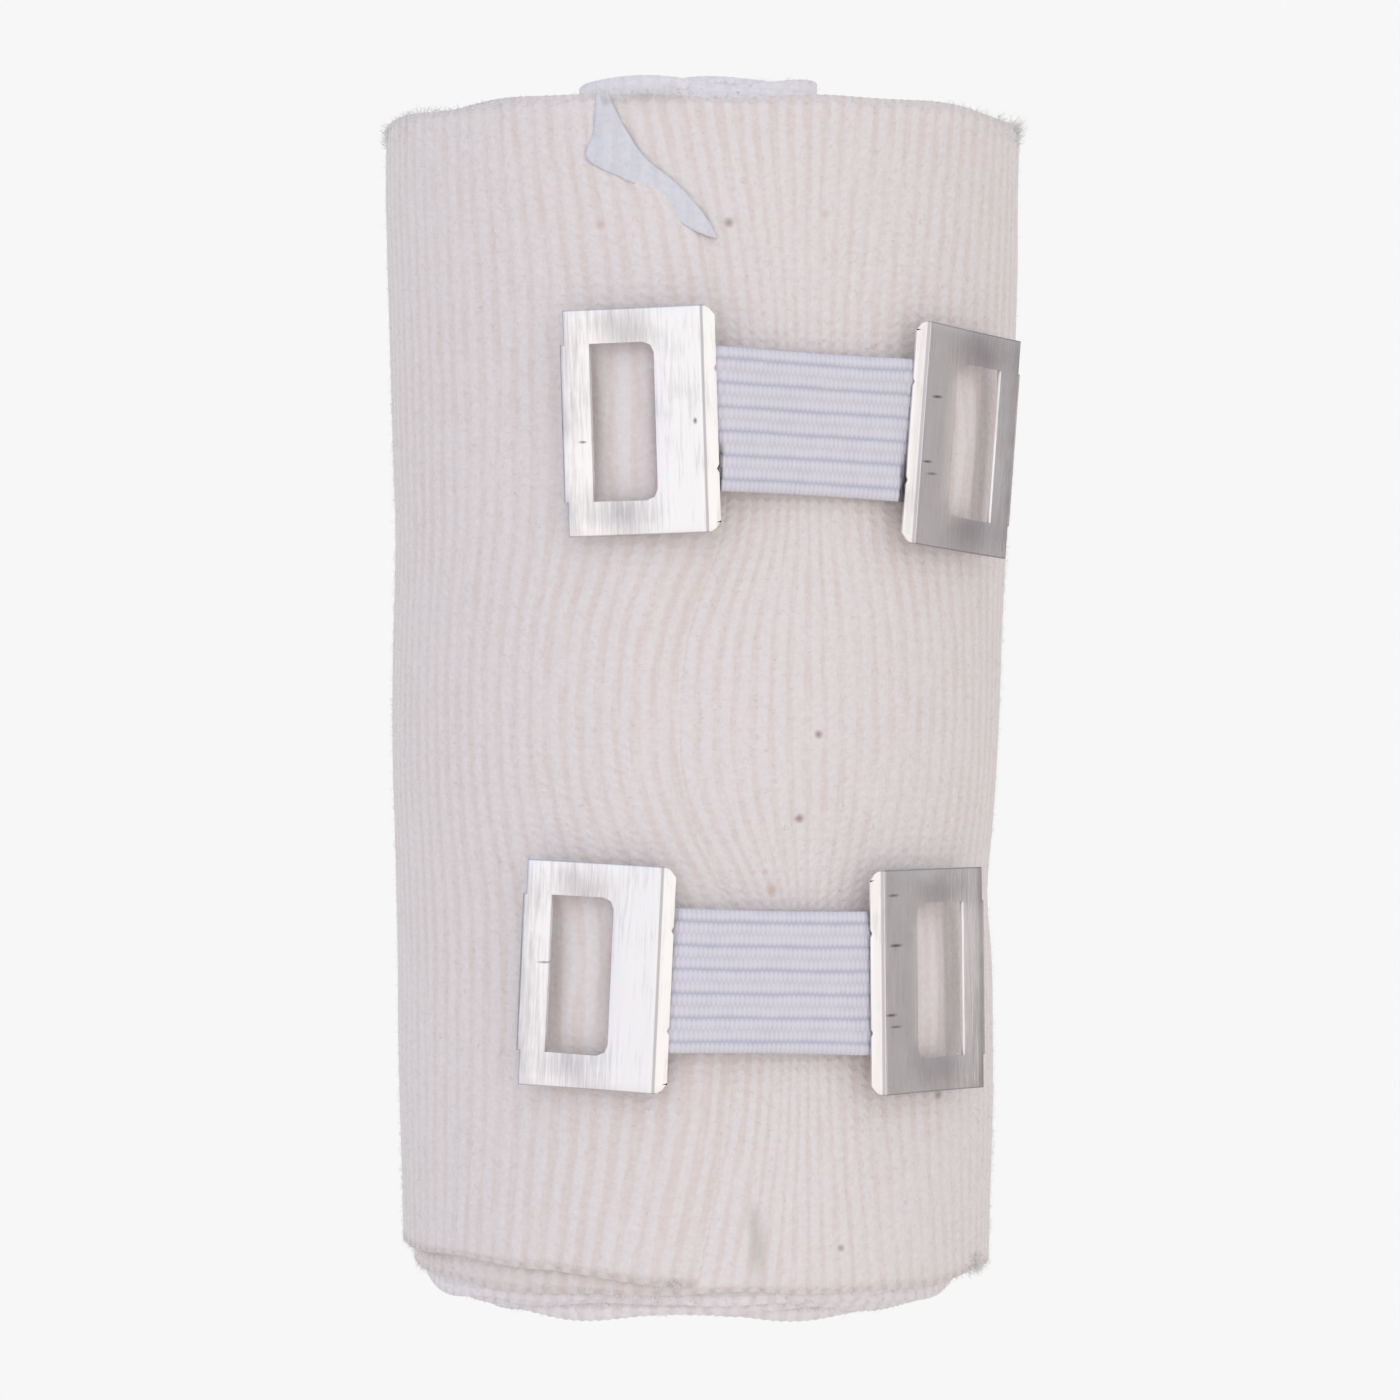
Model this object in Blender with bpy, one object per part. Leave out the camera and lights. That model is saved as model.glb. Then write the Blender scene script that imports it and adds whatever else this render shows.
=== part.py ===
"""Elastic support bandage: a wound crepe strip held shut by two stretch clips.

The roll lies on its side with its axis along Y, on the flat stretch of its outermost turn.
X runs across the roll, Z is up, and the origin is under the middle of the roll.
"""

import math
from collections import namedtuple

import bpy
import bmesh
import numpy as np
from mathutils import Matrix, Vector

# Sizes of the wound strip, in metres
STRIP_WIDTH = 0.100
CLOTH = 0.0008
TURN_SLACK = 0.00005
ROLL_DEPTH = 0.046
ROLL_HALF_WIDTH = 0.027
REST_HALF_WIDTH = 0.005
CROWN_RISE = 0.0015
INNER_BEND = 0.0004
FLAP_THICKNESS = 0.0008
FLAP_STEP = 0.0004

# Sizes of a clip: two pierced metal plates joined by a band of elastic tape
PLATE_LENGTH = 0.0188
PLATE_WIDTH = 0.0130
SHEET = 0.0003
WINDOW_LENGTH = 0.0131
WINDOW_WIDTH = 0.0054
OUTER_MARGIN = 0.0025
CORNER_CUT = 0.0009
LIP_WIDTH = 0.0012
LIP_ANGLE = math.radians(20.0)
BAND_WIDTH = 0.0120
BAND_THICKNESS = 0.0009
PINCHED_THICKNESS = 0.00035
CRIMP_CLEARANCE = 0.0001
CRIMP_END_GAP = 0.0008
SEAT_GAP = 0.0003

# Where the outermost turn passes the sides of the roll, as parts of a turn from the free end
LEFT_TURN = 0.25
REST_TURN = 0.5
RIGHT_TURN = 0.75

# Angles at which every turn is bent, in degrees, from the crown of the roll and round by its
# left side. The flat stretch that rests lies between the two bends at 270.
CROWN_ANGLE = 90.0
Bend = namedtuple("Bend", "angle side")
CROWN_BENDS = [Bend(CROWN_ANGLE + 5.0 * step, 0) for step in range(4)]
LEFT_BENDS = [Bend(120.0 + 15.0 * step, -1) for step in range(11)]
RIGHT_BENDS = [Bend(270.0 + 15.0 * step, 1) for step in range(12)]
CLOSING_BENDS = [Bend(435.0 + 5.0 * step, 0) for step in range(3)]
BENDS = CROWN_BENDS + LEFT_BENDS + RIGHT_BENDS + CLOSING_BENDS
FIRST_FULL_BEND = len(CROWN_BENDS)
FREE_STEPS = 5

# Sections across the outermost turn, from the lower end of the roll to the upper one.
# along: place along the strip's width, as a share of it.  left, right: how far the roll
# reaches to each side, as shares of its half width.  crown: how far the top swells between
# the clips, as a share of the depth.  edge, fold: where the strip's free end and the inner
# border of its turned-over corner lie, as shares of the half width.
Section = namedtuple("Section", "along left right crown edge fold")
SECTIONS = [
    Section(-0.500, 0.978, 0.952, 0.0100, 0.007, 0.007),
    Section(-0.443, 0.981, 0.959, 0.0075, 0.037, 0.037),
    Section(-0.370, 0.989, 0.967, 0.0040, 0.093, 0.093),
    Section(-0.310, 0.993, 0.965, 0.0000, 0.115, 0.115),
    Section(-0.240, 0.993, 0.959, 0.0000, 0.115, 0.115),
    Section(-0.175, 0.998, 0.944, 0.0010, 0.115, 0.115),
    Section(-0.120, 1.004, 0.963, 0.0050, 0.015, 0.015),
    Section(-0.090, 1.009, 0.972, 0.0075, -0.030, -0.030),
    Section(-0.008, 1.013, 0.989, 0.0110, -0.056, -0.056),
    Section(0.041, 1.011, 0.994, 0.0100, -0.037, -0.037),
    Section(0.133, 1.004, 1.013, 0.0040, 0.078, 0.078),
    Section(0.220, 1.013, 1.031, 0.0000, 0.093, 0.093),
    Section(0.296, 1.019, 1.037, 0.0010, 0.078, 0.078),
    Section(0.369, 1.026, 1.043, 0.0050, 0.067, 0.067),
    Section(0.386, 1.028, 1.044, 0.0055, 0.037, -0.024),
    Section(0.411, 1.030, 1.044, 0.0075, -0.031, -0.119),
    Section(0.429, 1.033, 1.045, 0.0080, -0.100, -0.244),
    Section(0.440, 1.033, 1.046, 0.0090, -0.154, -0.330),
    Section(0.470, 1.033, 1.050, 0.0090, -0.237, -0.326),
    Section(0.500, 1.030, 1.056, 0.0090, -0.293, -0.319),
]

# The turns under the outermost one run straight from end to end, a little inside the sections
Straight = namedtuple("Straight", "along left right")
STRAIGHT = [Straight(-0.5, 0.970, 0.907), Straight(0.5, 1.012, 1.020)]

# How far each turn has slipped endways. turn: share of all turns from the free end.
# slip: share of the strip's width, towards the upper end.
Slip = namedtuple("Slip", "turn slip")
SLIPS = [
    Slip(0.00, -0.004),
    Slip(0.06, -0.004),
    Slip(0.11, -0.016),
    Slip(0.22, -0.027),
    Slip(0.70, -0.027),
    Slip(0.78, 0.034),
    Slip(1.00, 0.034),
]

# How far the lower hem of the free end is drawn up. turn: parts of a turn from the free end.
# lift: share of the strip's width.
Hem = namedtuple("Hem", "turn lift")
HEMS = [Hem(0.00, 0.009), Hem(0.06, 0.020), Hem(0.30, 0.021), Hem(0.60, 0.000)]

# The swell of the outermost turn fades out where the next turn runs under it, in turns
SWELL_KEPT = 1.05
SWELL_GONE = 1.29

# The clips. along: where each plate's middle lies along the roll, as shares of the strip's
# width.  across: the same across the roll, as shares of its half width.  spin: how far each
# plate is turned in its own plane, in degrees.
Clip = namedtuple("Clip", "name along_left along_right across_left across_right spin_left spin_right")
CLIPS = [
    Clip("upper_clip", 0.222, 0.212, -0.178, 0.785, 1.8, -5.0),
    Clip("lower_clip", -0.237, -0.245, -0.308, 0.674, -2.7, 0.0),
]
BAND_STATIONS = 14
HULL_STATIONS = 60
SEAT_SAMPLES = 9

# Colours and finishes: colour in linear light, roughness, metallic
Finish = namedtuple("Finish", "colour roughness metallic")
CREPE = Finish((0.70, 0.65, 0.65), 0.95, 0.0)
TAPE = Finish((0.62, 0.61, 0.70), 0.85, 0.0)
ALUMINIUM = Finish((0.80, 0.79, 0.79), 0.35, 1.0)

CORE_DISTANCE = CLOTH / 2 + INNER_BEND


def column_at(table, key, place, name):
    """A column of a table, straight between the two rows round a place in the key column."""
    keys = [getattr(row, key) for row in table]
    values = [getattr(row, name) for row in table]
    return float(np.interp(place, keys, values))


def straight_at(y, name):
    """Reach of the straight inner turns at y, carried on past the strip's ends."""
    low, high = STRAIGHT
    share = (y / STRIP_WIDTH - low.along) / (high.along - low.along)
    return getattr(low, name) + (getattr(high, name) - getattr(low, name)) * share


def side_distance(y, name):
    """Distance of the outermost turn from the core at one side of the roll."""
    return ROLL_HALF_WIDTH * straight_at(y, name) - REST_HALF_WIDTH - CLOTH / 2


def count_turns():
    """As many turns as the narrowest side of the roll holds."""
    room = side_distance(-STRIP_WIDTH / 2, "right") - CORE_DISTANCE
    return int(room / (CLOTH + TURN_SLACK) + RIGHT_TURN)


TURNS = count_turns()


def start_distance(distance, turn):
    """Distance at the free end of a spiral that passes a given distance after some turns."""
    return CORE_DISTANCE + (distance - CORE_DISTANCE) / (1.0 - turn / TURNS)


def wound_distance(start, turn):
    """Distance of a spiral from the core after some turns."""
    return CORE_DISTANCE + (start - CORE_DISTANCE) * (1.0 - turn / TURNS)


def upright_start():
    """Start distance upwards that gives the roll its depth with the rest face at zero."""
    room = ROLL_DEPTH - CROWN_RISE - CLOTH - CORE_DISTANCE
    fraction = REST_TURN / TURNS
    return (room + CORE_DISTANCE * (1.0 - fraction)) / (2.0 - fraction)


UPRIGHT_START = upright_start()
CORE_HEIGHT = wound_distance(UPRIGHT_START, REST_TURN) + CLOTH / 2


def swell(angle, y, turn):
    """How far the outermost turn stands off the straight winding."""
    fade = float(np.interp(turn, [SWELL_KEPT, SWELL_GONE], [1.0, 0.0]))
    if fade == 0.0:
        return 0.0
    side = "right" if math.cos(angle) > 0 else "left"
    along = y / STRIP_WIDTH
    reach = column_at(SECTIONS, "along", along, side) - straight_at(y, side)
    rise = column_at(SECTIONS, "along", along, "crown") * max(0.0, math.sin(angle)) ** 2
    return fade * (ROLL_HALF_WIDTH * reach * math.cos(angle) ** 2 + ROLL_DEPTH * rise)


def core_point(angle, side):
    """Point of the flat core whose face looks along an angle."""
    across, up = math.cos(angle), math.sin(angle)
    if up < -1e-6:
        return REST_HALF_WIDTH * side, 0.0
    length = math.hypot(REST_HALF_WIDTH * across, CROWN_RISE * up)
    return REST_HALF_WIDTH**2 * across / length, CROWN_RISE**2 * up / length


def wound_point(degrees, y, lift=0.0, side=0):
    """Middle of the strip's wall at a winding angle, or a point lifted off it."""
    angle = math.radians(degrees)
    turn = (degrees - CROWN_ANGLE) / 360.0
    across, up = math.cos(angle), math.sin(angle)
    if across > 0:
        level = start_distance(side_distance(y, "right"), RIGHT_TURN)
    else:
        level = start_distance(side_distance(y, "left"), LEFT_TURN)
    start = level * across**2 + UPRIGHT_START * up**2
    distance = wound_distance(start, turn) + swell(angle, y, turn) + lift
    core_x, core_z = core_point(angle, side)
    return Vector((core_x + distance * across, y, CORE_HEIGHT + core_z + distance * up))


def angle_at(x, y, layer):
    """Winding angle at which a layer of the roll's upper half passes x."""
    low, high = 5.0, 175.0
    for _ in range(40):
        middle = (low + high) / 2
        if wound_point(middle + 360.0 * layer, y, CLOTH / 2).x > x:
            low = middle
        else:
            high = middle
    return (low + high) / 2 + 360.0 * layer


def free_end(y, name):
    """Where the strip's free end, or its fold's border, crosses the roll at y."""
    return ROLL_HALF_WIDTH * column_at(SECTIONS, "along", y / STRIP_WIDTH, name)


def skin_point(x, y, layer=None):
    """Point on the roll's outer face over x and y; the layer follows from the free end."""
    if layer is None:
        layer = 0 if x < free_end(y, "edge") else 1
    return wound_point(angle_at(x, y, layer), y, CLOTH / 2)


def hem_height(turn, along):
    """Place along the roll of a share of the strip's width, after some turns."""
    slip = column_at(SLIPS, "turn", turn / TURNS, "slip")
    lift = column_at(HEMS, "turn", turn, "lift") * (0.5 - along)
    return STRIP_WIDTH * (along + slip + lift)


def wall(degrees, y, side=0, raised=0.0):
    """The outer and inner points of the strip's wall."""
    outer = wound_point(degrees, y, CLOTH / 2 + raised, side)
    inner = wound_point(degrees, y, -CLOTH / 2, side)
    return outer, inner


def free_end_columns():
    """Walls from the free end over the turned-over corner to the first full bend."""
    columns = [[] for _ in range(2 + FREE_STEPS)]
    full = BENDS[FIRST_FULL_BEND].angle
    for section in SECTIONS:
        y = hem_height(0.0, section.along)
        edge = ROLL_HALF_WIDTH * section.edge
        fold = ROLL_HALF_WIDTH * section.fold
        raised = FLAP_THICKNESS if edge - fold > FLAP_STEP else 0.0
        fold = min(fold, edge - FLAP_STEP)
        at_edge = angle_at(edge, y, 0)
        at_fold = angle_at(fold, y, 0)
        at_foot = angle_at(fold - FLAP_STEP, y, 0)
        columns[0].append(wall(at_edge, y, raised=raised))
        columns[1].append(wall(at_fold, y, raised=raised))
        for step in range(FREE_STEPS):
            degrees = at_foot + (full - at_foot) * step / FREE_STEPS
            y = hem_height((degrees - CROWN_ANGLE) / 360.0, section.along)
            columns[2 + step].append(wall(degrees, y))
    return columns


def wound_columns():
    """Walls at every bend; sections count only as far as the swell reaches."""
    columns = []
    for whole in range(TURNS):
        first = FIRST_FULL_BEND if whole == 0 else 0
        for bend in BENDS[first:]:
            degrees = bend.angle + 360.0 * whole
            turn = (degrees - CROWN_ANGLE) / 360.0
            shares = [-0.5, 0.5]
            if turn <= SWELL_GONE + 0.01:
                shares = [section.along for section in SECTIONS]
            heights = [hem_height(turn, share) for share in shares]
            columns.append([wall(degrees, y, bend.side) for y in heights])
    return columns


def wound_strip():
    """The whole strip as one closed mesh."""
    mesh = bmesh.new()
    columns = []
    for column in free_end_columns() + wound_columns():
        columns.append([(mesh.verts.new(outer), mesh.verts.new(inner)) for outer, inner in column])
    for near, far in zip(columns, columns[1:]):
        for face in (0, 1):
            near_side = [pair[face] for pair in near]
            far_side = [pair[face] for pair in far]
            if len(near_side) == len(far_side):
                for low in range(len(near_side) - 1):
                    corners = near_side[low : low + 2] + far_side[low : low + 2][::-1]
                    mesh.faces.new(corners)
            else:
                mesh.faces.new(near_side + far_side[::-1])
        for hem in (0, -1):
            mesh.faces.new([near[hem][0], far[hem][0], far[hem][1], near[hem][1]])
    for end in (columns[0], columns[-1]):
        for low, high in zip(end, end[1:]):
            mesh.faces.new([low[0], high[0], high[1], low[1]])
    bmesh.ops.recalc_face_normals(mesh, faces=mesh.faces)
    return mesh


JAW_DROP = math.sin(LIP_ANGLE) * LIP_WIDTH + PINCHED_THICKNESS + 2 * CRIMP_CLEARANCE + SHEET
BODY_HEIGHT = SHEET / 2 + JAW_DROP
BAND_HEIGHT = SHEET + CRIMP_CLEARANCE + PINCHED_THICKNESS / 2


def cells(mesh, low, high, facing):
    """Faces of the middle row between two places across the plate that look one way."""
    opening = WINDOW_LENGTH / 2
    found = []
    for face in mesh.faces:
        middle = face.calc_center_median()
        inside = low < middle.x < high and abs(middle.y) < opening
        if inside and face.normal.dot(facing) > 0.99:
            found.append(face)
    return found


def pull_out(mesh, faces, move):
    """Extrudes faces by a move and gives the new end faces."""
    made = bmesh.ops.extrude_face_region(mesh, geom=faces)["geom"]
    ends = [item for item in made if isinstance(item, bmesh.types.BMFace)]
    verts = [item for item in made if isinstance(item, bmesh.types.BMVert)]
    bmesh.ops.translate(mesh, verts=verts, vec=move)
    bmesh.ops.delete(mesh, geom=faces, context="FACES")
    mesh.normal_update()
    return ends


def plate_mesh():
    """One plate, its band side at +X and its lowest point at zero height."""
    outer = -PLATE_WIDTH / 2
    window_start = outer + OUTER_MARGIN
    window_end = window_start + WINDOW_WIDTH
    crease = PLATE_WIDTH / 2 - LIP_WIDTH
    half, opening = PLATE_LENGTH / 2, WINDOW_LENGTH / 2
    outline = [
        (outer + CORNER_CUT, -half),
        (crease, -half),
        (crease, half),
        (outer + CORNER_CUT, half),
        (outer, half - CORNER_CUT),
        (outer, CORNER_CUT - half),
    ]
    mesh = bmesh.new()
    mesh.faces.new([mesh.verts.new((x, y, BODY_HEIGHT + SHEET / 2)) for x, y in outline])
    for x in (outer + SHEET, window_start - SHEET, window_start, window_end, window_end + SHEET):
        everything = mesh.verts[:] + mesh.edges[:] + mesh.faces[:]
        bmesh.ops.bisect_plane(mesh, geom=everything, plane_co=(x, 0, 0), plane_no=(1, 0, 0))
    for y in (-opening, opening):
        everything = mesh.verts[:] + mesh.edges[:] + mesh.faces[:]
        bmesh.ops.bisect_plane(mesh, geom=everything, plane_co=(0, y, 0), plane_no=(0, 1, 0))
    mesh.normal_update()
    up, down, inwards = Vector((0, 0, 1)), Vector((0, 0, -1)), Vector((1, 0, 0))
    window = cells(mesh, window_start, window_end, up)
    bmesh.ops.delete(mesh, geom=window, context="FACES")
    bmesh.ops.solidify(mesh, geom=mesh.faces[:], thickness=SHEET)
    bmesh.ops.recalc_face_normals(mesh, faces=mesh.faces)
    # The hem and the tooth are bent down, and so is the root of the jaw that grips the band
    pull_out(mesh, cells(mesh, outer, outer + SHEET, down), (0, 0, -JAW_DROP))
    pull_out(mesh, cells(mesh, window_start - SHEET, window_start, down), (0, 0, -JAW_DROP))
    root = cells(mesh, window_end, window_end + SHEET, down)
    root = pull_out(mesh, root, (0, 0, SHEET - JAW_DROP))
    pull_out(mesh, root, (0, 0, -SHEET))
    jaw = cells(mesh, window_end, window_end + 2 * SHEET, inwards)
    jaw = [face for face in jaw if face.calc_center_median().z < SHEET]
    pull_out(mesh, jaw, (crease - window_end - SHEET, 0, 0))
    # The lip slopes down from the crease, and its corners are cut
    side = [face for face in mesh.faces if face.normal.x > 0.99]
    side = [face for face in side if face.calc_center_median().z > JAW_DROP]
    side = [face for face in side if face.calc_center_median().x > crease - SHEET]
    run, drop = LIP_WIDTH * math.cos(LIP_ANGLE), LIP_WIDTH * math.sin(LIP_ANGLE)
    for face in pull_out(mesh, side, (run, 0, -drop)):
        for vert in face.verts:
            if abs(vert.co.y) > half - CORNER_CUT / 2:
                vert.co.y = math.copysign(half - CORNER_CUT, vert.co.y)
    bmesh.ops.recalc_face_normals(mesh, faces=mesh.faces)
    return mesh


def plate_frame(x, y, spin, towards):
    """Seat of a plate on the roll: its band side looks towards +X or -X."""
    step = SHEET
    layer = 0 if x < free_end(y, "edge") else 1
    seat = skin_point(x, y, layer)
    across = (skin_point(x + step, y, layer) - skin_point(x - step, y, layer)).normalized()
    along = (skin_point(x, y + step, layer) - skin_point(x, y - step, layer)).normalized()
    up = across.cross(along).normalized()
    along = up.cross(across)
    turned = Matrix.Rotation(math.radians(spin), 3, up)
    across, along = turned @ across, turned @ along
    lift = 0.0
    for i in range(SEAT_SAMPLES):
        for j in range(SEAT_SAMPLES):
            place = seat + across * PLATE_WIDTH * (i / (SEAT_SAMPLES - 1) - 0.5)
            place = place + along * PLATE_LENGTH * (j / (SEAT_SAMPLES - 1) - 0.5)
            lift = max(lift, (skin_point(place.x, place.y, layer) - seat).dot(up))
    origin = seat + up * (lift + SEAT_GAP)
    if towards < 0:
        across, along = -across, -along
    frame = Matrix((across, along, up)).transposed().to_4x4()
    frame.translation = origin
    return frame


def upper_hull(points):
    """The points that a stretched band would touch, in order of x."""
    hull = []
    for point in points:
        while len(hull) > 1:
            a, b = hull[-2], hull[-1]
            if (b.x - a.x) * (point.z - a.z) - (b.z - a.z) * (point.x - a.x) < 0:
                break
            hull.pop()
        hull.append(point)
    return hull


def along_path(points, shares):
    """Points at shares of a path's length."""
    lengths = [0.0]
    for a, b in zip(points, points[1:]):
        lengths.append(lengths[-1] + (b - a).length)
    keys = [lengths[-1] * share for share in shares]
    axes = [np.interp(keys, lengths, [point[axis] for point in points]) for axis in range(3)]
    return [Vector(place) for place in zip(*axes)]


def band_cover(x, y):
    """Lowest middle of the band over x that keeps its gap to the cloth across its width."""
    best = None
    for share in (-0.5, -0.25, 0.0, 0.25, 0.5):
        side = y + BAND_WIDTH * share
        layer = 0 if x < free_end(side, "edge") + SEAT_GAP else 1
        degrees = angle_at(x, side, layer)
        point = wound_point(degrees, side, CLOTH / 2 + SEAT_GAP + BAND_THICKNESS / 2)
        if best is None or point.z > best.z:
            best = Vector((point.x, y, point.z))
    return best


Station = namedtuple("Station", "point upright thickness")


def band_path(left, right):
    """Middle line, upright and thickness of the band at each station between the crimps."""
    depth = PLATE_WIDTH - OUTER_MARGIN - WINDOW_WIDTH - CRIMP_END_GAP
    edge = PLATE_WIDTH / 2
    ends = []
    for frame in (left, right):
        tail = frame @ Vector((edge - depth, 0.0, BAND_HEIGHT))
        mouth = frame @ Vector((edge + BAND_THICKNESS, 0.0, BAND_HEIGHT))
        ends.append((tail, mouth))
    (left_tail, left_mouth), (right_tail, right_mouth) = ends
    cover = []
    for index in range(1, HULL_STATIONS):
        share = index / HULL_STATIONS
        place = left_mouth.lerp(right_mouth, share)
        cover.append(band_cover(place.x, place.y))
    cover = [point for point in cover if left_mouth.x < point.x < right_mouth.x]
    cover.sort(key=lambda point: point.x)
    hull = upper_hull([left_mouth] + cover + [right_mouth])
    shares = [index / BAND_STATIONS for index in range(BAND_STATIONS + 1)]
    span = along_path(hull, shares)
    uprights = [left.col[2].xyz]
    for before, after in zip(span, span[2:]):
        run = after - before
        uprights.append(Vector((-run.z, 0.0, run.x)).normalized())
    uprights.append(right.col[2].xyz)
    stations = [Station(left_tail, uprights[0], PINCHED_THICKNESS)]
    for index, (point, upright) in enumerate(zip(span, uprights)):
        pinched = index in (0, len(span) - 1)
        thickness = PINCHED_THICKNESS if pinched else BAND_THICKNESS
        stations.append(Station(point, upright, thickness))
    stations.append(Station(right_tail, uprights[-1], PINCHED_THICKNESS))
    return stations


def band_mesh(stations):
    """A flat band through its stations."""
    mesh = bmesh.new()
    rings = []
    for index, station in enumerate(stations):
        before = stations[max(index - 1, 0)].point
        after = stations[min(index + 1, len(stations) - 1)].point
        side = (after - before).cross(station.upright).normalized() * BAND_WIDTH / 2
        rise = station.upright * station.thickness / 2
        corners = [side + rise, side - rise, -side - rise, -side + rise]
        rings.append([mesh.verts.new(station.point + corner) for corner in corners])
    for near, far in zip(rings, rings[1:]):
        for index in range(4):
            following = (index + 1) % 4
            mesh.faces.new([near[index], far[index], far[following], near[following]])
    mesh.faces.new(rings[0])
    mesh.faces.new(rings[-1][::-1])
    bmesh.ops.recalc_face_normals(mesh, faces=mesh.faces)
    return mesh


def make_material(name, finish):
    """A Principled material with one finish."""
    material = bpy.data.materials.new(name)
    material.use_nodes = True
    shader = material.node_tree.nodes["Principled BSDF"]
    shader.inputs["Base Color"].default_value = (*finish.colour, 1.0)
    shader.inputs["Roughness"].default_value = finish.roughness
    shader.inputs["Metallic"].default_value = finish.metallic
    return material


def add_object(name, mesh, material, frame=None):
    """Turns a bmesh into a named object in the scene."""
    data = bpy.data.meshes.new(name)
    mesh.to_mesh(data)
    mesh.free()
    data.materials.append(material)
    piece = bpy.data.objects.new(name, data)
    if frame is not None:
        piece.matrix_world = frame
    bpy.context.scene.collection.objects.link(piece)
    return piece


def add_roll():
    """The wound strip, shaded smooth round its bends."""
    roll = add_object("bandage_roll", wound_strip(), make_material("crepe_cloth", CREPE))
    roll.data.shade_smooth()
    roll.data.set_sharp_from_angle(angle=math.radians(40.0))
    return roll


def add_clip(clip):
    """Both plates of a clip and the band between them."""
    left = plate_frame(
        ROLL_HALF_WIDTH * clip.across_left, STRIP_WIDTH * clip.along_left, clip.spin_left, 1
    )
    right = plate_frame(
        ROLL_HALF_WIDTH * clip.across_right, STRIP_WIDTH * clip.along_right, clip.spin_right, -1
    )
    for side, frame in (("_plate_left", left), ("_plate_right", right)):
        name = clip.name + side
        add_object(name, plate_mesh(), make_material(name + "_metal", ALUMINIUM), frame)
    name = clip.name + "_band"
    add_object(name, band_mesh(band_path(left, right)), make_material(name + "_tape", TAPE))


def centre_on_roll(roll):
    """Moves every piece so that the origin is under the middle of the roll's own box."""
    corners = [vert.co for vert in roll.data.vertices]
    middle = [(min(c[axis] for c in corners) + max(c[axis] for c in corners)) / 2 for axis in (0, 1)]
    move = Matrix.Translation((-middle[0], -middle[1], 0.0))
    for piece in bpy.data.objects:
        piece.matrix_world = move @ piece.matrix_world


def main():
    for piece in list(bpy.data.objects):
        bpy.data.objects.remove(piece, do_unlink=True)
    roll = add_roll()
    for clip in CLIPS:
        add_clip(clip)
    bpy.context.view_layer.update()
    centre_on_roll(roll)


main()
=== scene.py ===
# %% [markdown]
# A rolled elastic bandage, dressed for a photograph taken from straight above.
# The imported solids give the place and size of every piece. This script adds what they leave
# out: the knitted ribs of the strip, its fuzzy hems, the brushed metal of the clips and the
# corded tape between their plates.

import math
from collections import namedtuple

import bmesh
import bpy
import numpy as np
from mathutils import Matrix, Vector


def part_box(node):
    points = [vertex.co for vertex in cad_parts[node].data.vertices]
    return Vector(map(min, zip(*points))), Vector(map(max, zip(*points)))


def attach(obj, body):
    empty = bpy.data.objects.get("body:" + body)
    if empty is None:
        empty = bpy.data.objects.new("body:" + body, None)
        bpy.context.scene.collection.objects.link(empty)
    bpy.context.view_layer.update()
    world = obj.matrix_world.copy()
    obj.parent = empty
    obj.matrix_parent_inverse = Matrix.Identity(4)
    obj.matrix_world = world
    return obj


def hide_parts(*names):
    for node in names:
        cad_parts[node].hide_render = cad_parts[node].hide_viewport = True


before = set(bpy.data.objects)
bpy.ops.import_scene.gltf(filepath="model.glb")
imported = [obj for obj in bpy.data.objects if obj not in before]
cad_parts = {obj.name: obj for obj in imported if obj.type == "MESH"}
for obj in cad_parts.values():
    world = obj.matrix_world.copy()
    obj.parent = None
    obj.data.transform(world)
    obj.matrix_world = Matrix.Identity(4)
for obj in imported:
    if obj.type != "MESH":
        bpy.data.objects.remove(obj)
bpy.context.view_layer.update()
MM = 0.001
print("nodes:", sorted(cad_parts))

# %% [markdown]
# The strip is wound as a spiral round a flat core. Every turn lies one cloth further out than
# the turn under it, so the distance from the core falls evenly with the turns. The tables are
# the ones that the solids were made from, with their columns as shares of the named sizes.

# %% Sizes and tables of the winding
STRIP_WIDTH = 100 * MM
CLOTH = 0.8 * MM
CORE_DISTANCE = 0.8 * MM
ROLL_DEPTH = 46 * MM
ROLL_HALF_WIDTH = 27 * MM
REST_HALF_WIDTH = 5 * MM
CROWN_RISE = 1.5 * MM
TURNS = 22
LEFT_TURN, REST_TURN, RIGHT_TURN = 0.25, 0.5, 0.75
SWELL_KEPT, SWELL_GONE = 1.05, 1.29

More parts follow.
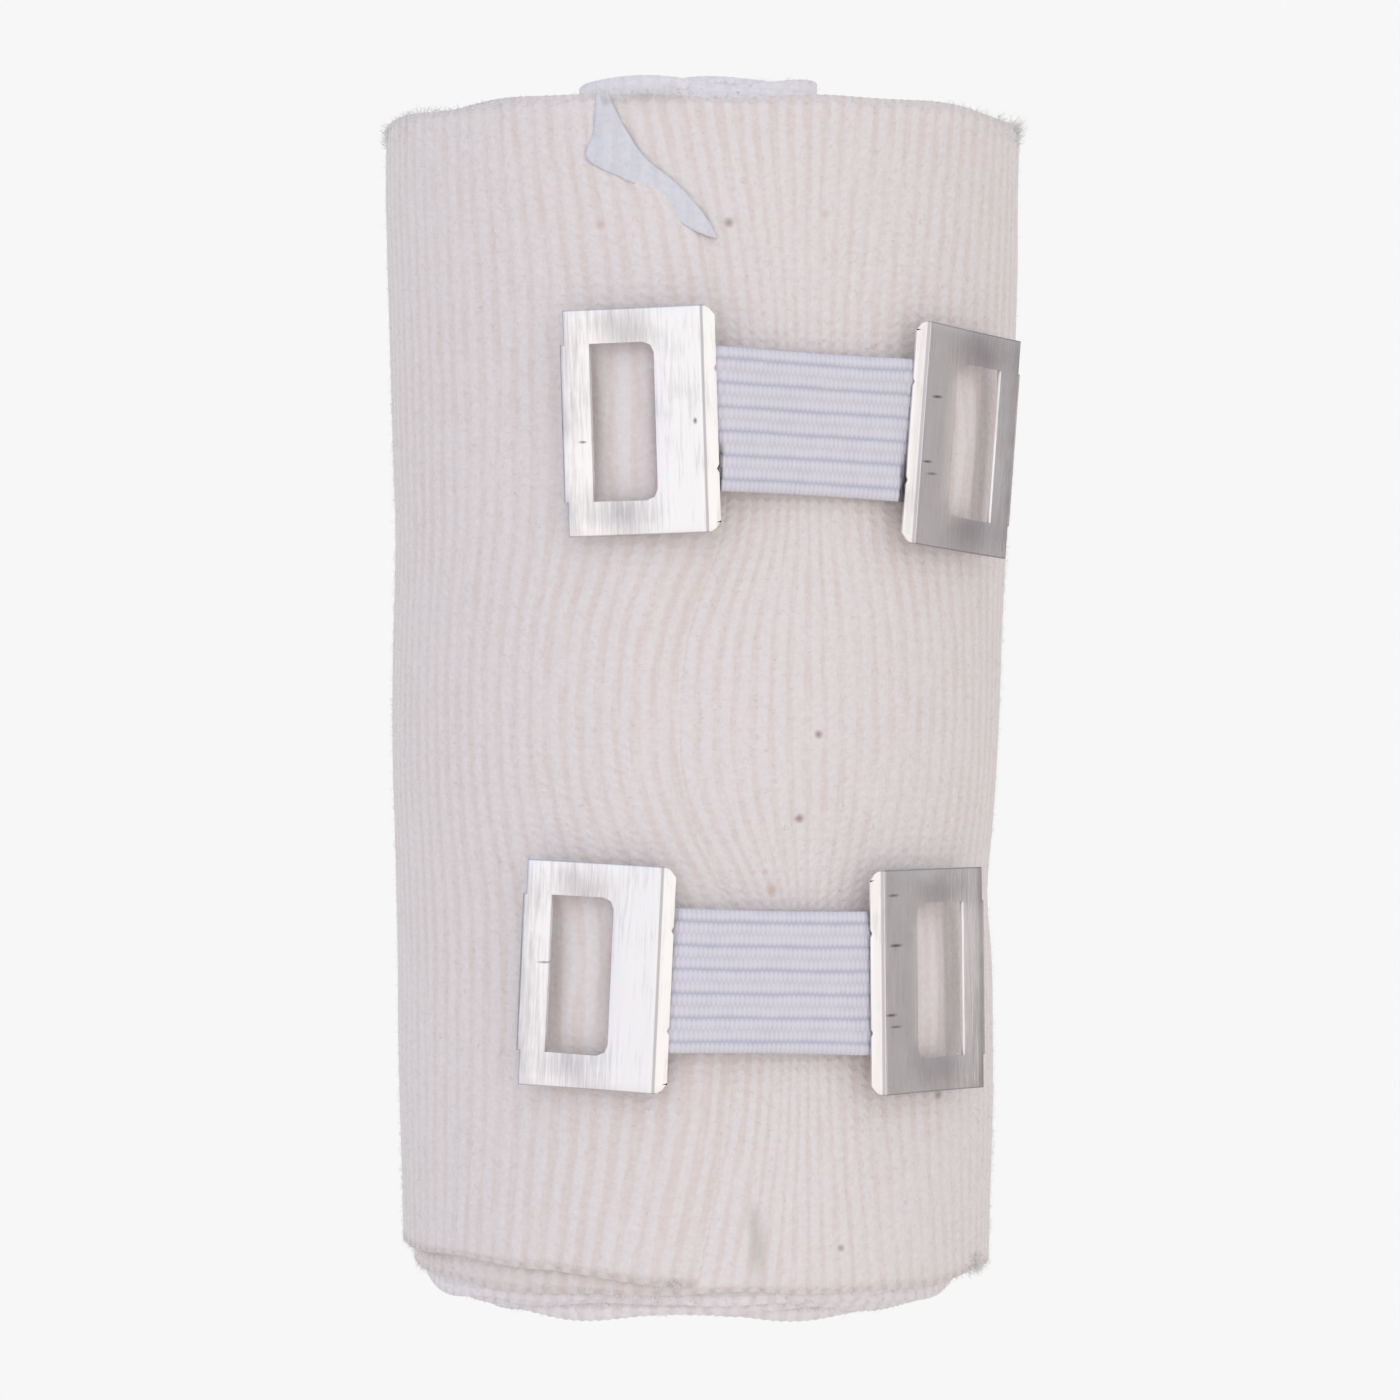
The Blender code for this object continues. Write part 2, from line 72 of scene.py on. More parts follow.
Section = namedtuple("Section", "along left right crown edge fold")
SECTIONS = [
    Section(-0.500, 0.978, 0.952, 0.0100, 0.007, 0.007),
    Section(-0.443, 0.981, 0.959, 0.0075, 0.037, 0.037),
    Section(-0.370, 0.989, 0.967, 0.0040, 0.093, 0.093),
    Section(-0.310, 0.993, 0.965, 0.0000, 0.115, 0.115),
    Section(-0.240, 0.993, 0.959, 0.0000, 0.115, 0.115),
    Section(-0.175, 0.998, 0.944, 0.0010, 0.115, 0.115),
    Section(-0.120, 1.004, 0.963, 0.0050, 0.015, 0.015),
    Section(-0.090, 1.009, 0.972, 0.0075, -0.030, -0.030),
    Section(-0.008, 1.013, 0.989, 0.0110, -0.056, -0.056),
    Section(0.041, 1.011, 0.994, 0.0100, -0.037, -0.037),
    Section(0.133, 1.004, 1.013, 0.0040, 0.078, 0.078),
    Section(0.220, 1.013, 1.031, 0.0000, 0.093, 0.093),
    Section(0.296, 1.019, 1.037, 0.0010, 0.078, 0.078),
    Section(0.369, 1.026, 1.043, 0.0050, 0.067, 0.067),
    Section(0.386, 1.028, 1.044, 0.0055, 0.037, -0.024),
    Section(0.411, 1.030, 1.044, 0.0075, -0.031, -0.119),
    Section(0.429, 1.033, 1.045, 0.0080, -0.100, -0.244),
    Section(0.440, 1.033, 1.046, 0.0090, -0.154, -0.330),
    Section(0.470, 1.033, 1.050, 0.0090, -0.237, -0.326),
    Section(0.500, 1.030, 1.056, 0.0090, -0.293, -0.319),
]
Straight = namedtuple("Straight", "along left right")
STRAIGHT = [Straight(-0.5, 0.970, 0.907), Straight(0.5, 1.012, 1.020)]
Slip = namedtuple("Slip", "turn slip")
SLIPS = [
    Slip(0.00, -0.004),
    Slip(0.06, -0.004),
    Slip(0.11, -0.016),
    Slip(0.22, -0.027),
    Slip(0.70, -0.027),
    Slip(0.78, 0.034),
    Slip(1.00, 0.034),
]
Hem = namedtuple("Hem", "turn lift")
HEMS = [Hem(0.00, 0.009), Hem(0.06, 0.020), Hem(0.30, 0.021), Hem(0.60, 0.000)]


# %% [markdown]
# The solids are faceted, with straight lines between the rows of their tables. Cloth has no
# corners, so the same tables are read here with a smooth curve through their rows.

# %% Reading a table straight or smoothly
def column(table, name):
    return np.array([getattr(row, name) for row in table], float)


def straight_at(table, key, place, name):
    return np.interp(place, column(table, key), column(table, name))


def smooth_at(table, key, place, name):
    """A smooth curve through a table's rows, level beyond its ends."""
    keys, values = column(table, key), column(table, name)
    slopes = np.gradient(values, keys)
    place = np.clip(place, keys[0], keys[-1])
    low = np.clip(np.searchsorted(keys, place) - 1, 0, len(keys) - 2)
    width = keys[low + 1] - keys[low]
    t = (place - keys[low]) / width
    rise = values[low + 1] - values[low]
    near, far = slopes[low] * width - rise, slopes[low + 1] * width - rise
    return values[low] + rise * t + t * (1 - t) * (near * (1 - t) - far * t)


# %% The section of the roll
def straight_reach(y, name):
    low, high = STRAIGHT
    share = (y / STRIP_WIDTH - low.along) / (high.along - low.along)
    return getattr(low, name) + (getattr(high, name) - getattr(low, name)) * share


def start_distance(distance, turn):
    return CORE_DISTANCE + (distance - CORE_DISTANCE) / (1 - turn / TURNS)


def wound_distance(start, turn):
    return CORE_DISTANCE + (start - CORE_DISTANCE) * (1 - turn / TURNS)


def side_start(y, name, turn):
    distance = ROLL_HALF_WIDTH * straight_reach(y, name) - REST_HALF_WIDTH - CLOTH / 2
    return start_distance(distance, turn)


REST_SHARE = REST_TURN / TURNS
UPRIGHT_ROOM = ROLL_DEPTH - CROWN_RISE - CLOTH - CORE_DISTANCE
UPRIGHT_START = (UPRIGHT_ROOM + CORE_DISTANCE * (1 - REST_SHARE)) / (2 - REST_SHARE)
CORE_HEIGHT = wound_distance(UPRIGHT_START, REST_TURN) + CLOTH / 2


def swell(across, up, y, turn):
    """How far the outermost turn stands off the straight winding."""
    fade = np.interp(turn, [SWELL_KEPT, SWELL_GONE], [1.0, 0.0])
    along = y / STRIP_WIDTH
    right = smooth_at(SECTIONS, "along", along, "right") - straight_reach(y, "right")
    left = smooth_at(SECTIONS, "along", along, "left") - straight_reach(y, "left")
    side = ROLL_HALF_WIDTH * np.where(across > 0, right, left) * across**2
    crown = ROLL_DEPTH * smooth_at(SECTIONS, "along", along, "crown") * np.maximum(up, 0) ** 2
    return fade * (side + crown)


def section_point(degrees, flat, y, lift=0.0):
    """Across and up of the strip's middle at a winding angle, or lifted off it."""
    angle = np.radians(degrees)
    turn = (degrees - 90) / 360
    across, up = np.cos(angle), np.sin(angle)
    right, left = side_start(y, "right", RIGHT_TURN), side_start(y, "left", LEFT_TURN)
    start = np.where(across > 0, right, left) * across**2 + UPRIGHT_START * up**2
    distance = wound_distance(start, turn) + swell(across, up, y, turn) + lift
    length = np.hypot(REST_HALF_WIDTH * across, CROWN_RISE * up)
    under = up < -1e-6
    core_x = np.where(under, flat, REST_HALF_WIDTH**2 * across / length)
    core_z = np.where(under, 0.0, CROWN_RISE**2 * up / length)
    return core_x + distance * across, CORE_HEIGHT + core_z + distance * up


# %% [markdown]
# Cloth is measured along itself. Walking the spiral once in small steps gives the length of
# strip up to every winding angle, so that a place on the flat strip can be wound up.

# %% Length of the strip along its winding
FIRST_ANGLE = 60.0
ANGLE_STEP = 1.0
walk_degrees, walk_flat = [], []
for step in range(int((90 + 360 * TURNS - FIRST_ANGLE) / ANGLE_STEP) + 1):
    degrees = FIRST_ANGLE + ANGLE_STEP * step
    before_rest = degrees % 360 <= 270 and degrees % 360 >= 90
    walk_degrees.append(degrees)
    walk_flat.append(-REST_HALF_WIDTH if before_rest else REST_HALF_WIDTH)
    if abs(degrees % 360 - 270) < ANGLE_STEP / 2:
        walk_degrees.append(degrees)
        walk_flat.append(REST_HALF_WIDTH)
walk_degrees, walk_flat = np.array(walk_degrees), np.array(walk_flat)
walk_x, walk_z = section_point(walk_degrees, walk_flat, 0.0)
walk_length = np.concatenate([[0.0], np.cumsum(np.hypot(np.diff(walk_x), np.diff(walk_z)))])
walk_length -= np.interp(90.0, walk_degrees, walk_length)
FIRST_TURN_LENGTH = float(np.interp(450.0, walk_degrees, walk_length))
STRIP_LENGTH = float(walk_length[-1])
print(f"strip {STRIP_LENGTH:.3f} m long, first turn {FIRST_TURN_LENGTH * 1000:.1f} mm")


def wind(length, y, lift=0.0):
    """Across, along and up of a place on the strip, once it is wound."""
    degrees = np.interp(length, walk_length, walk_degrees)
    flat = np.interp(length, walk_length, walk_flat)
    x, z = section_point(degrees, flat, y, lift)
    return x, y, z


def slipped(length, along):
    """Place along the roll of a share of the strip's width."""
    turn = (np.interp(length, walk_length, walk_degrees) - 90) / 360
    slip = straight_at(SLIPS, "turn", turn / TURNS, "slip")
    lift = straight_at(HEMS, "turn", turn, "lift") * (0.5 - along)
    return STRIP_WIDTH * (along + slip + lift)


def length_at(x, y, layer=0):
    """Length of strip at which a layer on the roll's upper half passes x."""
    degrees = np.linspace(20.0, 160.0, 561)
    across, _ = section_point(degrees + 360 * layer, 0.0, y, CLOTH / 2)
    found = np.interp(-x, -across, degrees) + 360 * layer
    return float(np.interp(found, walk_degrees, walk_length))


# %% [markdown]
# The origin of the solids lies under the middle of the roll's own box. The winding above is
# measured from the middle of its core instead, so every finished piece is moved by the
# difference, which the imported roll's box gives.

# %% Where the winding lies in the frame
roll_low, roll_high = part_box("bandage_roll")
ring = np.linspace(0.0, 360.0, 361) + 90
reach_x = [section_point(ring, 0.0, STRIP_WIDTH * row.along, CLOTH / 2)[0] for row in SECTIONS]
own_middle_x = (np.min(reach_x) + np.max(reach_x)) / 2
all_along = [slipped(walk_length, share) for share in (-0.5, 0.5)]
own_middle_y = (np.min(all_along) + np.max(all_along)) / 2
FRAME_SHIFT = Vector((
    (roll_low.x + roll_high.x) / 2 - own_middle_x,
    (roll_low.y + roll_high.y) / 2 - own_middle_y,
    0.0,
))
print("shift to the frame, mm:", [round(value * 1000, 3) for value in FRAME_SHIFT])


# %% [markdown]
# Every new piece ends in the same way: its mesh is moved into the frame, its faces are shaded
# smooth, and it rides on the one body, because nothing of a bandage turns on a joint.

# %% Finishing a piece
def add_piece(name, mesh, nodes=(), smooth=True, shift=True):
    if shift:
        bmesh.ops.translate(mesh, verts=mesh.verts, vec=FRAME_SHIFT)
    data = bpy.data.meshes.new(name)
    mesh.to_mesh(data)
    mesh.free()
    piece = bpy.data.objects.new(name, data)
    bpy.context.scene.collection.objects.link(piece)
    if smooth:
        data.shade_smooth()
    if nodes:
        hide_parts(*nodes)
    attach(piece, "root")
    return piece


def flat_grid(mesh, columns, rows):
    """Makes a flat grid and gives the place of its vertices across and along, -0.5 to 0.5."""
    mesh.loops.layers.uv.new("UVMap")
    bmesh.ops.create_grid(mesh, x_segments=columns, y_segments=rows, size=0.5)
    mesh.verts.index_update()
    flat = np.array([vert.co[:2] for vert in mesh.verts]).reshape(rows + 1, columns + 1, 2)
    return flat[..., 0], flat[..., 1]


def bend_grid(mesh, points, uv):
    """Moves a flat grid's vertices to their places and writes its UV map."""
    for vert, point in zip(mesh.verts, np.stack(np.broadcast_arrays(*points), axis=-1).reshape(-1, 3)):
        vert.co = point
    layer = mesh.loops.layers.uv.active
    uv = np.stack(np.broadcast_arrays(*uv), axis=-1).reshape(-1, 2)
    for face in mesh.faces:
        for loop in face.loops:
            loop[layer].uv = uv[loop.vert.index]
    bmesh.ops.recalc_face_normals(mesh, faces=mesh.faces)


# %% [markdown]
# A crepe strip is knitted in ribs that run across it, which is along the roll. They stand about
# a millimetre and a half apart. Where a clip pulls the free end over, the ribs crowd together
# under its band and bow away again between the clips. So each rib is first given its place on
# the flat strip, and then a table pulls it along by a share of that bow.

# %% Ribs and the pull of the clips
RIB = 1.54 * MM
RIB_HEIGHT = 0.06 * MM
COLUMNS_PER_RIB = 6
SHEET_THICKNESS = 0.62 * MM
EDGE_PLACE = 1.5 * MM
EDGE_DIP = 0.82 * MM
EDGE_RUN = 4.2 * MM
EDGE_THIN = 0.2
BOW = 4.3 * MM

Pull = namedtuple("Pull", "along share")
PULLS = [
    Pull(-0.50, 0.30),
    Pull(-0.44, 0.60),
    Pull(-0.37, 0.93),
    Pull(-0.31, 1.07),
    Pull(-0.175, 1.07),
    Pull(-0.12, 0.44),
    Pull(-0.09, 0.16),
    Pull(-0.008, 0.00),
    Pull(0.041, 0.12),
    Pull(0.133, 0.84),
    Pull(0.22, 0.93),
    Pull(0.296, 0.84),
    Pull(0.369, 0.60),
    Pull(0.43, 0.30),
    Pull(0.50, 0.00),
]
# place: distance along the strip from the crown, to the left. shift: how far a clip moves it.
Bow = namedtuple("Bow", "place shift")
BOWS = [
    Bow(-42 * MM, 0.0),
    Bow(-34 * MM, 0.14),
    Bow(-27 * MM, 0.36),
    Bow(-20 * MM, 0.46),
    Bow(-16 * MM, 0.42),
    Bow(-12 * MM, 0.22),
    Bow(-8 * MM, -0.14),
    Bow(-4 * MM, -0.60),
    Bow(0.0, -0.93),
    Bow(3 * MM, -1.0),
    Bow(10 * MM, -0.72),
    Bow(20 * MM, -0.30),
    Bow(38 * MM, 0.0),
]


def pulled(place, y):
    """Where a rib of the outermost turn lies once the clips pull on it."""
    nearest = np.where(place > FIRST_TURN_LENGTH / 2, place - FIRST_TURN_LENGTH, place)
    share = smooth_at(PULLS, "along", y / STRIP_WIDTH, "share")
    return place + BOW * share * smooth_at(BOWS, "place", nearest, "shift")


# %% [markdown]
# The clips come next, because the cloth yields to them. Each plate of thin sheet metal is seated
# on the roll's face: square to it, turned a little, and just high enough to clear it everywhere.

# %% Sizes of a clip
PLATE_LENGTH = 18.8 * MM
PLATE_WIDTH = 13.0 * MM
SHEET = 0.3 * MM
WINDOW_LENGTH = 13.1 * MM
WINDOW_WIDTH = 5.4 * MM
CORNER_CUT = 0.9 * MM
LIP_WIDTH = 1.2 * MM
LIP_ANGLE = math.radians(20)
BAND_WIDTH = 12.0 * MM
BAND_THICKNESS = 0.9 * MM
PINCHED_THICKNESS = 0.35 * MM
CRIMP_CLEARANCE = 0.1 * MM
CRIMP_END_GAP = 0.8 * MM
SEAT_GAP = 0.3 * MM
# What the finished plate adds: rounded edges, a creased lip and a short hook on the window
TAB_REACH = 0.40 * MM
WINDOW_START = -4.0 * MM
LIP_START = 5.3 * MM
HOOK_DROP = 0.25 * MM
EDGE_ROUND = 0.09 * MM
# run and drop of the lip, from the crease
LIP_STEPS = [
    (0.0, 0.0),
    (0.05 * MM, 0.01 * MM),
    (0.25 * MM, 0.21 * MM),
    (0.36 * MM, 0.26 * MM),
    (0.85 * MM, 0.36 * MM),
    (1.25 * MM, 0.52 * MM),
]
PLATE_DISH = 0.22 * MM
JAW_DROP = math.sin(LIP_ANGLE) * LIP_WIDTH + PINCHED_THICKNESS + 2 * CRIMP_CLEARANCE + SHEET
BODY_HEIGHT = SHEET / 2 + JAW_DROP
BAND_HEIGHT = SHEET + CRIMP_CLEARANCE + PINCHED_THICKNESS / 2

Clip = namedtuple("Clip", "name along_left along_right across_left across_right spin_left spin_right")
CLIPS = [
    Clip("upper_clip", 0.222, 0.212, -0.178, 0.785, 1.8, -5.0),
    Clip("lower_clip", -0.237, -0.245, -0.308, 0.674, -2.7, 0.0),
]


def skin(x, y, layer):
    """Point on the outer face of a layer over x and y."""
    place = length_at(x, y, layer)
    return Vector([float(value) for value in wind(place, y, CLOTH / 2)])


def free_edge(y):
    return ROLL_HALF_WIDTH * float(straight_at(SECTIONS, "along", y / STRIP_WIDTH, "edge"))


def plate_frame(x, y, spin, towards):
    """Seat of a plate on the roll, with its tape side towards +X or -X."""
    layer = 0 if x < free_edge(y) else 1
    seat = skin(x, y, layer)
    across = (skin(x + SHEET, y, layer) - skin(x - SHEET, y, layer)).normalized()
    along = (skin(x, y + SHEET, layer) - skin(x, y - SHEET, layer)).normalized()
    up = across.cross(along).normalized()
    along = up.cross(across)
    turned = Matrix.Rotation(math.radians(spin), 3, up)
    across, along = turned @ across, turned @ along
    lift = 0.0
    for i in np.linspace(-0.5, 0.5, 9):
        for j in np.linspace(-0.5, 0.5, 9):
            spot = seat + across * PLATE_WIDTH * i + along * PLATE_LENGTH * j
            lift = max(lift, (skin(spot.x, spot.y, layer) - seat).dot(up))
    if towards < 0:
        across, along = -across, -along
    seated = Matrix((across, along, up)).transposed().to_4x4()
    seated.translation = seat + up * (lift + SEAT_GAP)
    return seated


SEATS = {}
for clip in CLIPS:
    for side, across, along, spin, towards in (
        ("left", clip.across_left, clip.along_left, clip.spin_left, 1),
        ("right", clip.across_right, clip.along_right, clip.spin_right, -1),
    ):
        seat_x, seat_y = ROLL_HALF_WIDTH * across, STRIP_WIDTH * along
        SEATS[f"{clip.name}_plate_{side}"] = plate_frame(seat_x, seat_y, spin, towards)


# %% Cloth in the windows of the plates
BULGE = 0.9 * MM
BULGE_REACH = 2.4 * MM


def window_bulge(x, y, z):
    """How far the cloth swells up into a plate's window."""
    rise = np.zeros_like(x)
    for seated in SEATS.values():
        turn = np.array(seated.inverted())
        local_x, local_y, local_z = (row[0] * x + row[1] * y + row[2] * z + row[3] for row in turn[:3])
        u = (local_x - WINDOW_START) / WINDOW_WIDTH
        v = local_y / WINDOW_LENGTH + 0.5
        inside = (u > 0) & (u < 1) & (v > 0) & (v < 1) & (np.abs(local_z) < BULGE_REACH)
        u, v = np.clip(u, 0, 1), np.clip(v, 0, 1)
        rise += inside * BULGE * np.sin(np.pi * u) * np.sin(np.pi * v) ** 0.5
    return rise


# %% [markdown]
# The outermost turn starts as a flat grid, six columns to a rib, and is wound from there. At the
# top the corner of its free end is folded back, so the columns that would lie beyond the fold
# are squeezed together under the turned corner, where nothing shows them.

# %% The outermost turn
OUTER_ROWS = 54
OUTER_TURNS = 1.45
outer_end = float(np.interp(90 + 360 * OUTER_TURNS, walk_degrees, walk_length))
outer_columns = int((outer_end - EDGE_PLACE) / RIB * COLUMNS_PER_RIB)

FOLD_ROWS = [row for row in SECTIONS if row.edge - row.fold > 0.01]
FOLD_FOOT = 0.378
Fold = namedtuple("Fold", "along line border")
FOLDS = [Fold(FOLD_FOOT, length_at(0.051 * ROLL_HALF_WIDTH, FOLD_FOOT * STRIP_WIDTH), None)]
FOLDS[0] = FOLDS[0]._replace(border=FOLDS[0].line)
for row in FOLD_ROWS:
    row_y = row.along * STRIP_WIDTH
    line = length_at(row.edge * ROLL_HALF_WIDTH, row_y)
    border = length_at(row.fold * ROLL_HALF_WIDTH, row_y)
    FOLDS.append(Fold(row.along, line, border))


def squeezed(length, along):
    """Draws the columns beyond the fold together under the turned corner."""
    line = smooth_at(FOLDS, "along", along, "line")
    border = smooth_at(FOLDS, "along", along, "border")
    first = length[0]
    room = border + 0.5 * MM - first
    share = np.clip((length - first) / np.maximum(room, 1e-6), 0, 1)
    under = line + (border + 0.5 * MM - line) * share
    folded = (along > FOLD_FOOT) & (line > first) & (length < border + 0.5 * MM)
    return np.where(folded, under, length)


def rib_lift(place):
    """Height of the knitted surface over its middle: round ribs with narrow grooves."""
    wave = 0.5 + 0.5 * np.cos(2 * np.pi * place / RIB)
    return RIB_HEIGHT * (wave**0.9 - 0.5)


def wavy(place, y, size, seed):
    """Soft unevenness of hand-wound cloth."""
    one = np.sin(place / (7.3 * MM) + seed) * np.sin(y / (9.1 * MM) + 1.7 * seed)
    two = np.sin(place / (3.1 * MM) + 2.3 * seed) * np.sin(y / (4.7 * MM) + 0.6 * seed)
    return size * (0.7 * one + 0.3 * two)


def rim_ripple(place, along, seed):
    """Small waves of a knitted hem, two to a rib."""
    near = np.clip(1 - (0.5 - np.abs(along)) * STRIP_WIDTH / (1.2 * MM), 0, 1)
    ripple = 0.03 * MM * np.cos(4 * np.pi * place / RIB)
    slow = 0.22 * MM * np.sin(place / (5.3 * MM) + seed) + 0.12 * MM * np.sin(place / (2.1 * MM))
    return np.sign(along) * near * (ripple + slow)


outer = bmesh.new()
across, up_share = flat_grid(outer, outer_columns, OUTER_ROWS)
place = EDGE_PLACE + (across + 0.5) * (outer_end - EDGE_PLACE)
along = 0.5 * np.sin(np.pi * up_share) * 0.35 + up_share * 0.65
length = np.empty_like(place)
for row in range(OUTER_ROWS + 1):
    row_y = slipped(place[row], along[row])
    length[row] = squeezed(pulled(place[row], row_y), along[row, 0])
y = slipped(length, along) + rim_ripple(place, along, 0.4)
lift = rib_lift(place) + wavy(place, y, 0.10 * MM, 0.3)
lift -= EDGE_DIP * np.clip(1 - (place - EDGE_PLACE) / EDGE_RUN, 0, 1)
lift += window_bulge(*wind(length, y, lift))
bend_grid(outer, wind(length, y, lift), (place * 10, along))
outer_turn = add_piece("outer_turn", outer, ["bandage_roll"])
full_cloth = outer_turn.vertex_groups.new(name="full_cloth")
for number, here in enumerate(place[0]):
    weight = EDGE_THIN + (1 - EDGE_THIN) * min(1.0, (here - EDGE_PLACE) / EDGE_RUN)
    indices = [row * (outer_columns + 1) + number for row in range(OUTER_ROWS + 1)]
    full_cloth.add(indices, float(weight), "REPLACE")
thicken = outer_turn.modifiers.new("Cloth", "SOLIDIFY")
thicken.thickness = SHEET_THICKNESS
thicken.vertex_group = "full_cloth"
thicken.offset = 0.0
print(f"outer turn: {outer_columns} columns by {OUTER_ROWS} rows")

# %% [markdown]
# The turns under it only show at the two ends of the roll, so their grid is coarse along the
# roll and fine along the strip, where its hems ripple.

# %% The inner turns
INNER_SHARES = [-0.5, -0.493, -0.475, -0.2, 0.2, 0.475, 0.493, 0.5]
INNER_STEP = RIB / 4
inner_columns = int((STRIP_LENGTH - outer_end) / INNER_STEP)
inner = bmesh.new()
rows = len(INNER_SHARES) - 1
across, _ = flat_grid(inner, inner_columns, rows)
place = outer_end + (across + 0.5) * (STRIP_LENGTH - outer_end)
along = np.repeat(np.array(INNER_SHARES)[:, None], inner_columns + 1, axis=1)
turn = (np.interp(place, walk_length, walk_degrees) - 90) / 360
y = slipped(place, along) + 1.6 * rim_ripple(place, along, 1.9)
y += np.sign(along) * (np.abs(along) > 0.4) * 0.35 * MM * np.sin(turn * 9.7)
bend_grid(inner, wind(place, y), (place * 10, along))
inner_turns = add_piece("inner_turns", inner, ["bandage_roll"])
thicken = inner_turns.modifiers.new("Cloth", "SOLIDIFY")
thicken.thickness = SHEET_THICKNESS
thicken.offset = 0.0
print(f"inner turns: {inner_columns} columns")

# %% [markdown]
# The corner of the free end is turned over. It is a narrow wedge of the same cloth with its
# plain back outwards. It rises over the fold in a small half circle, lies back to the left and
# follows the cloth beneath it, which is thin and low along the free end.

# %% The turned corner
CORNER_COLUMNS, CORNER_ROWS = 16, 40
CORNER_HEIGHT = 0.16 * MM
CORNER_THICKNESS = 0.16 * MM
CORNER_SINK = 0.14 * MM
corner = bmesh.new()
across, up_share = flat_grid(corner, CORNER_COLUMNS, CORNER_ROWS)
across_share = across + 0.5
along = FOLD_FOOT + (up_share + 0.5) * (0.5 - FOLD_FOOT)
line = smooth_at(FOLDS, "along", along, "line")
border = smooth_at(FOLDS, "along", along, "border")
bend = np.clip(across_share / 0.35, 0, 1) * np.pi
beyond = np.clip((across_share - 0.35) / 0.65, 0, 1)
radius = CORNER_HEIGHT / 2
length = line + radius * (1 - np.sin(bend)) - radius * 0.4 + beyond * (border - line)
y = slipped(length, along) + rim_ripple(length, along, 0.9)
under = np.clip((length - line) / (border + 0.5 * MM - line), 0, 1)
under *= border + 0.5 * MM - EDGE_PLACE
run = np.clip(under / EDGE_RUN, 0, 1)
cloth_top = SHEET_THICKNESS / 2 * (EDGE_THIN + (1 - EDGE_THIN) * run) - EDGE_DIP * (1 - run)
cloth_top = np.maximum(cloth_top, -SHEET_THICKNESS / 2)
cloth_top += wavy(EDGE_PLACE + under, y, 0.10 * MM, 0.3)
lift = cloth_top + radius * (1 - np.cos(bend)) - CORNER_SINK * beyond**4
bend_grid(corner, wind(length, y, lift), (length * 10, along))
turned_corner = add_piece("turned_corner", corner)
thicken = turned_corner.modifiers.new("Cloth", "SOLIDIFY")
thicken.thickness = CORNER_THICKNESS
thicken.offset = 0.0

# %% [markdown]
# Brushed cotton is never smooth: short ends of fibre stand up all over it, and most of all at
# the two rims of the roll, where the hems of all the turns lie side by side. A fibre is a thin
# three-sided spike with one bend, and thousands of them are joined into one mesh from arrays.

# %% Making fibres
rng = np.random.default_rng(7)


def unit(rows):
    return rows / np.linalg.norm(rows, axis=1, keepdims=True)


def fibre_mesh(roots, leans, sizes, radius):
    """A mesh of bent spikes from their roots, directions and lengths."""
    count = len(roots)
    side = unit(np.cross(leans, rng.normal(size=(count, 3))))
    other = unit(np.cross(leans, side))
    bend = side * (sizes * rng.uniform(0.05, 0.3, count))[:, None]
    levels = []
    for share, thick in ((0.0, 1.0), (0.5, 0.8)):
        centre = roots + leans * (sizes * share)[:, None] + bend * share * 2
        for angle in (0.0, 2.1, 4.2):
            levels.append(centre + radius * thick * (side * math.cos(angle) + other * math.sin(angle)))
    levels.append(roots + leans * sizes[:, None])
    points = np.stack(levels, axis=1).reshape(-1, 3)
    faces = [(0, 2, 1), (0, 1, 4, 3), (1, 2, 5, 4), (2, 0, 3, 5), (3, 4, 6), (4, 5, 6), (5, 3, 6)]
    data = bpy.data.meshes.new("fibres")
    data.from_pydata(points, [], [[7 * i + corner for corner in face] for i in range(count) for face in faces])
    mesh = bmesh.new()
    mesh.from_mesh(data)
    bpy.data.meshes.remove(data)
    return mesh


def strip_frame(place, y, lift):
    """Points on the wound strip, with the directions along it, along the roll and outwards."""
    here = np.stack(np.broadcast_arrays(*wind(place, y, lift)), axis=1)
    ahead = np.stack(np.broadcast_arrays(*wind(place + 0.1 * MM, y, lift)), axis=1)
    out = np.stack(np.broadcast_arrays(*wind(place, y, lift + 0.1 * MM)), axis=1)
    return here, unit(ahead - here), np.tile([0.0, 1.0, 0.0], (len(here), 1)), unit(out - here)


def mixed_leans(frame_rows, weights):
    """Directions from one weight for each axis of the strip."""
    return unit(sum(axis * weight[:, None] for axis, weight in zip(frame_rows, weights)))


# %% Fuzz on the outermost turn
FUZZ_COUNT = 16000
fuzz_degrees = 90 + rng.uniform(-118, 118, FUZZ_COUNT)
fuzz_degrees = np.where(fuzz_degrees < 92, fuzz_degrees + 360, fuzz_degrees)
fuzz_place = np.interp(fuzz_degrees, walk_degrees, walk_length)
fuzz_y = slipped(fuzz_place, rng.uniform(-0.495, 0.495, FUZZ_COUNT))
here, ahead, aside, out = strip_frame(fuzz_place, fuzz_y, SHEET_THICKNESS / 2 + 0.02 * MM)
weights = (rng.normal(0, 1, FUZZ_COUNT), rng.normal(0, 1, FUZZ_COUNT), rng.uniform(0.1, 0.9, FUZZ_COUNT))
leans = mixed_leans((ahead, aside, out), weights)
mesh = fibre_mesh(here, leans, rng.uniform(0.25, 0.70, FUZZ_COUNT) * MM, 0.014 * MM)
surface_fuzz = add_piece("surface_fuzz", mesh)

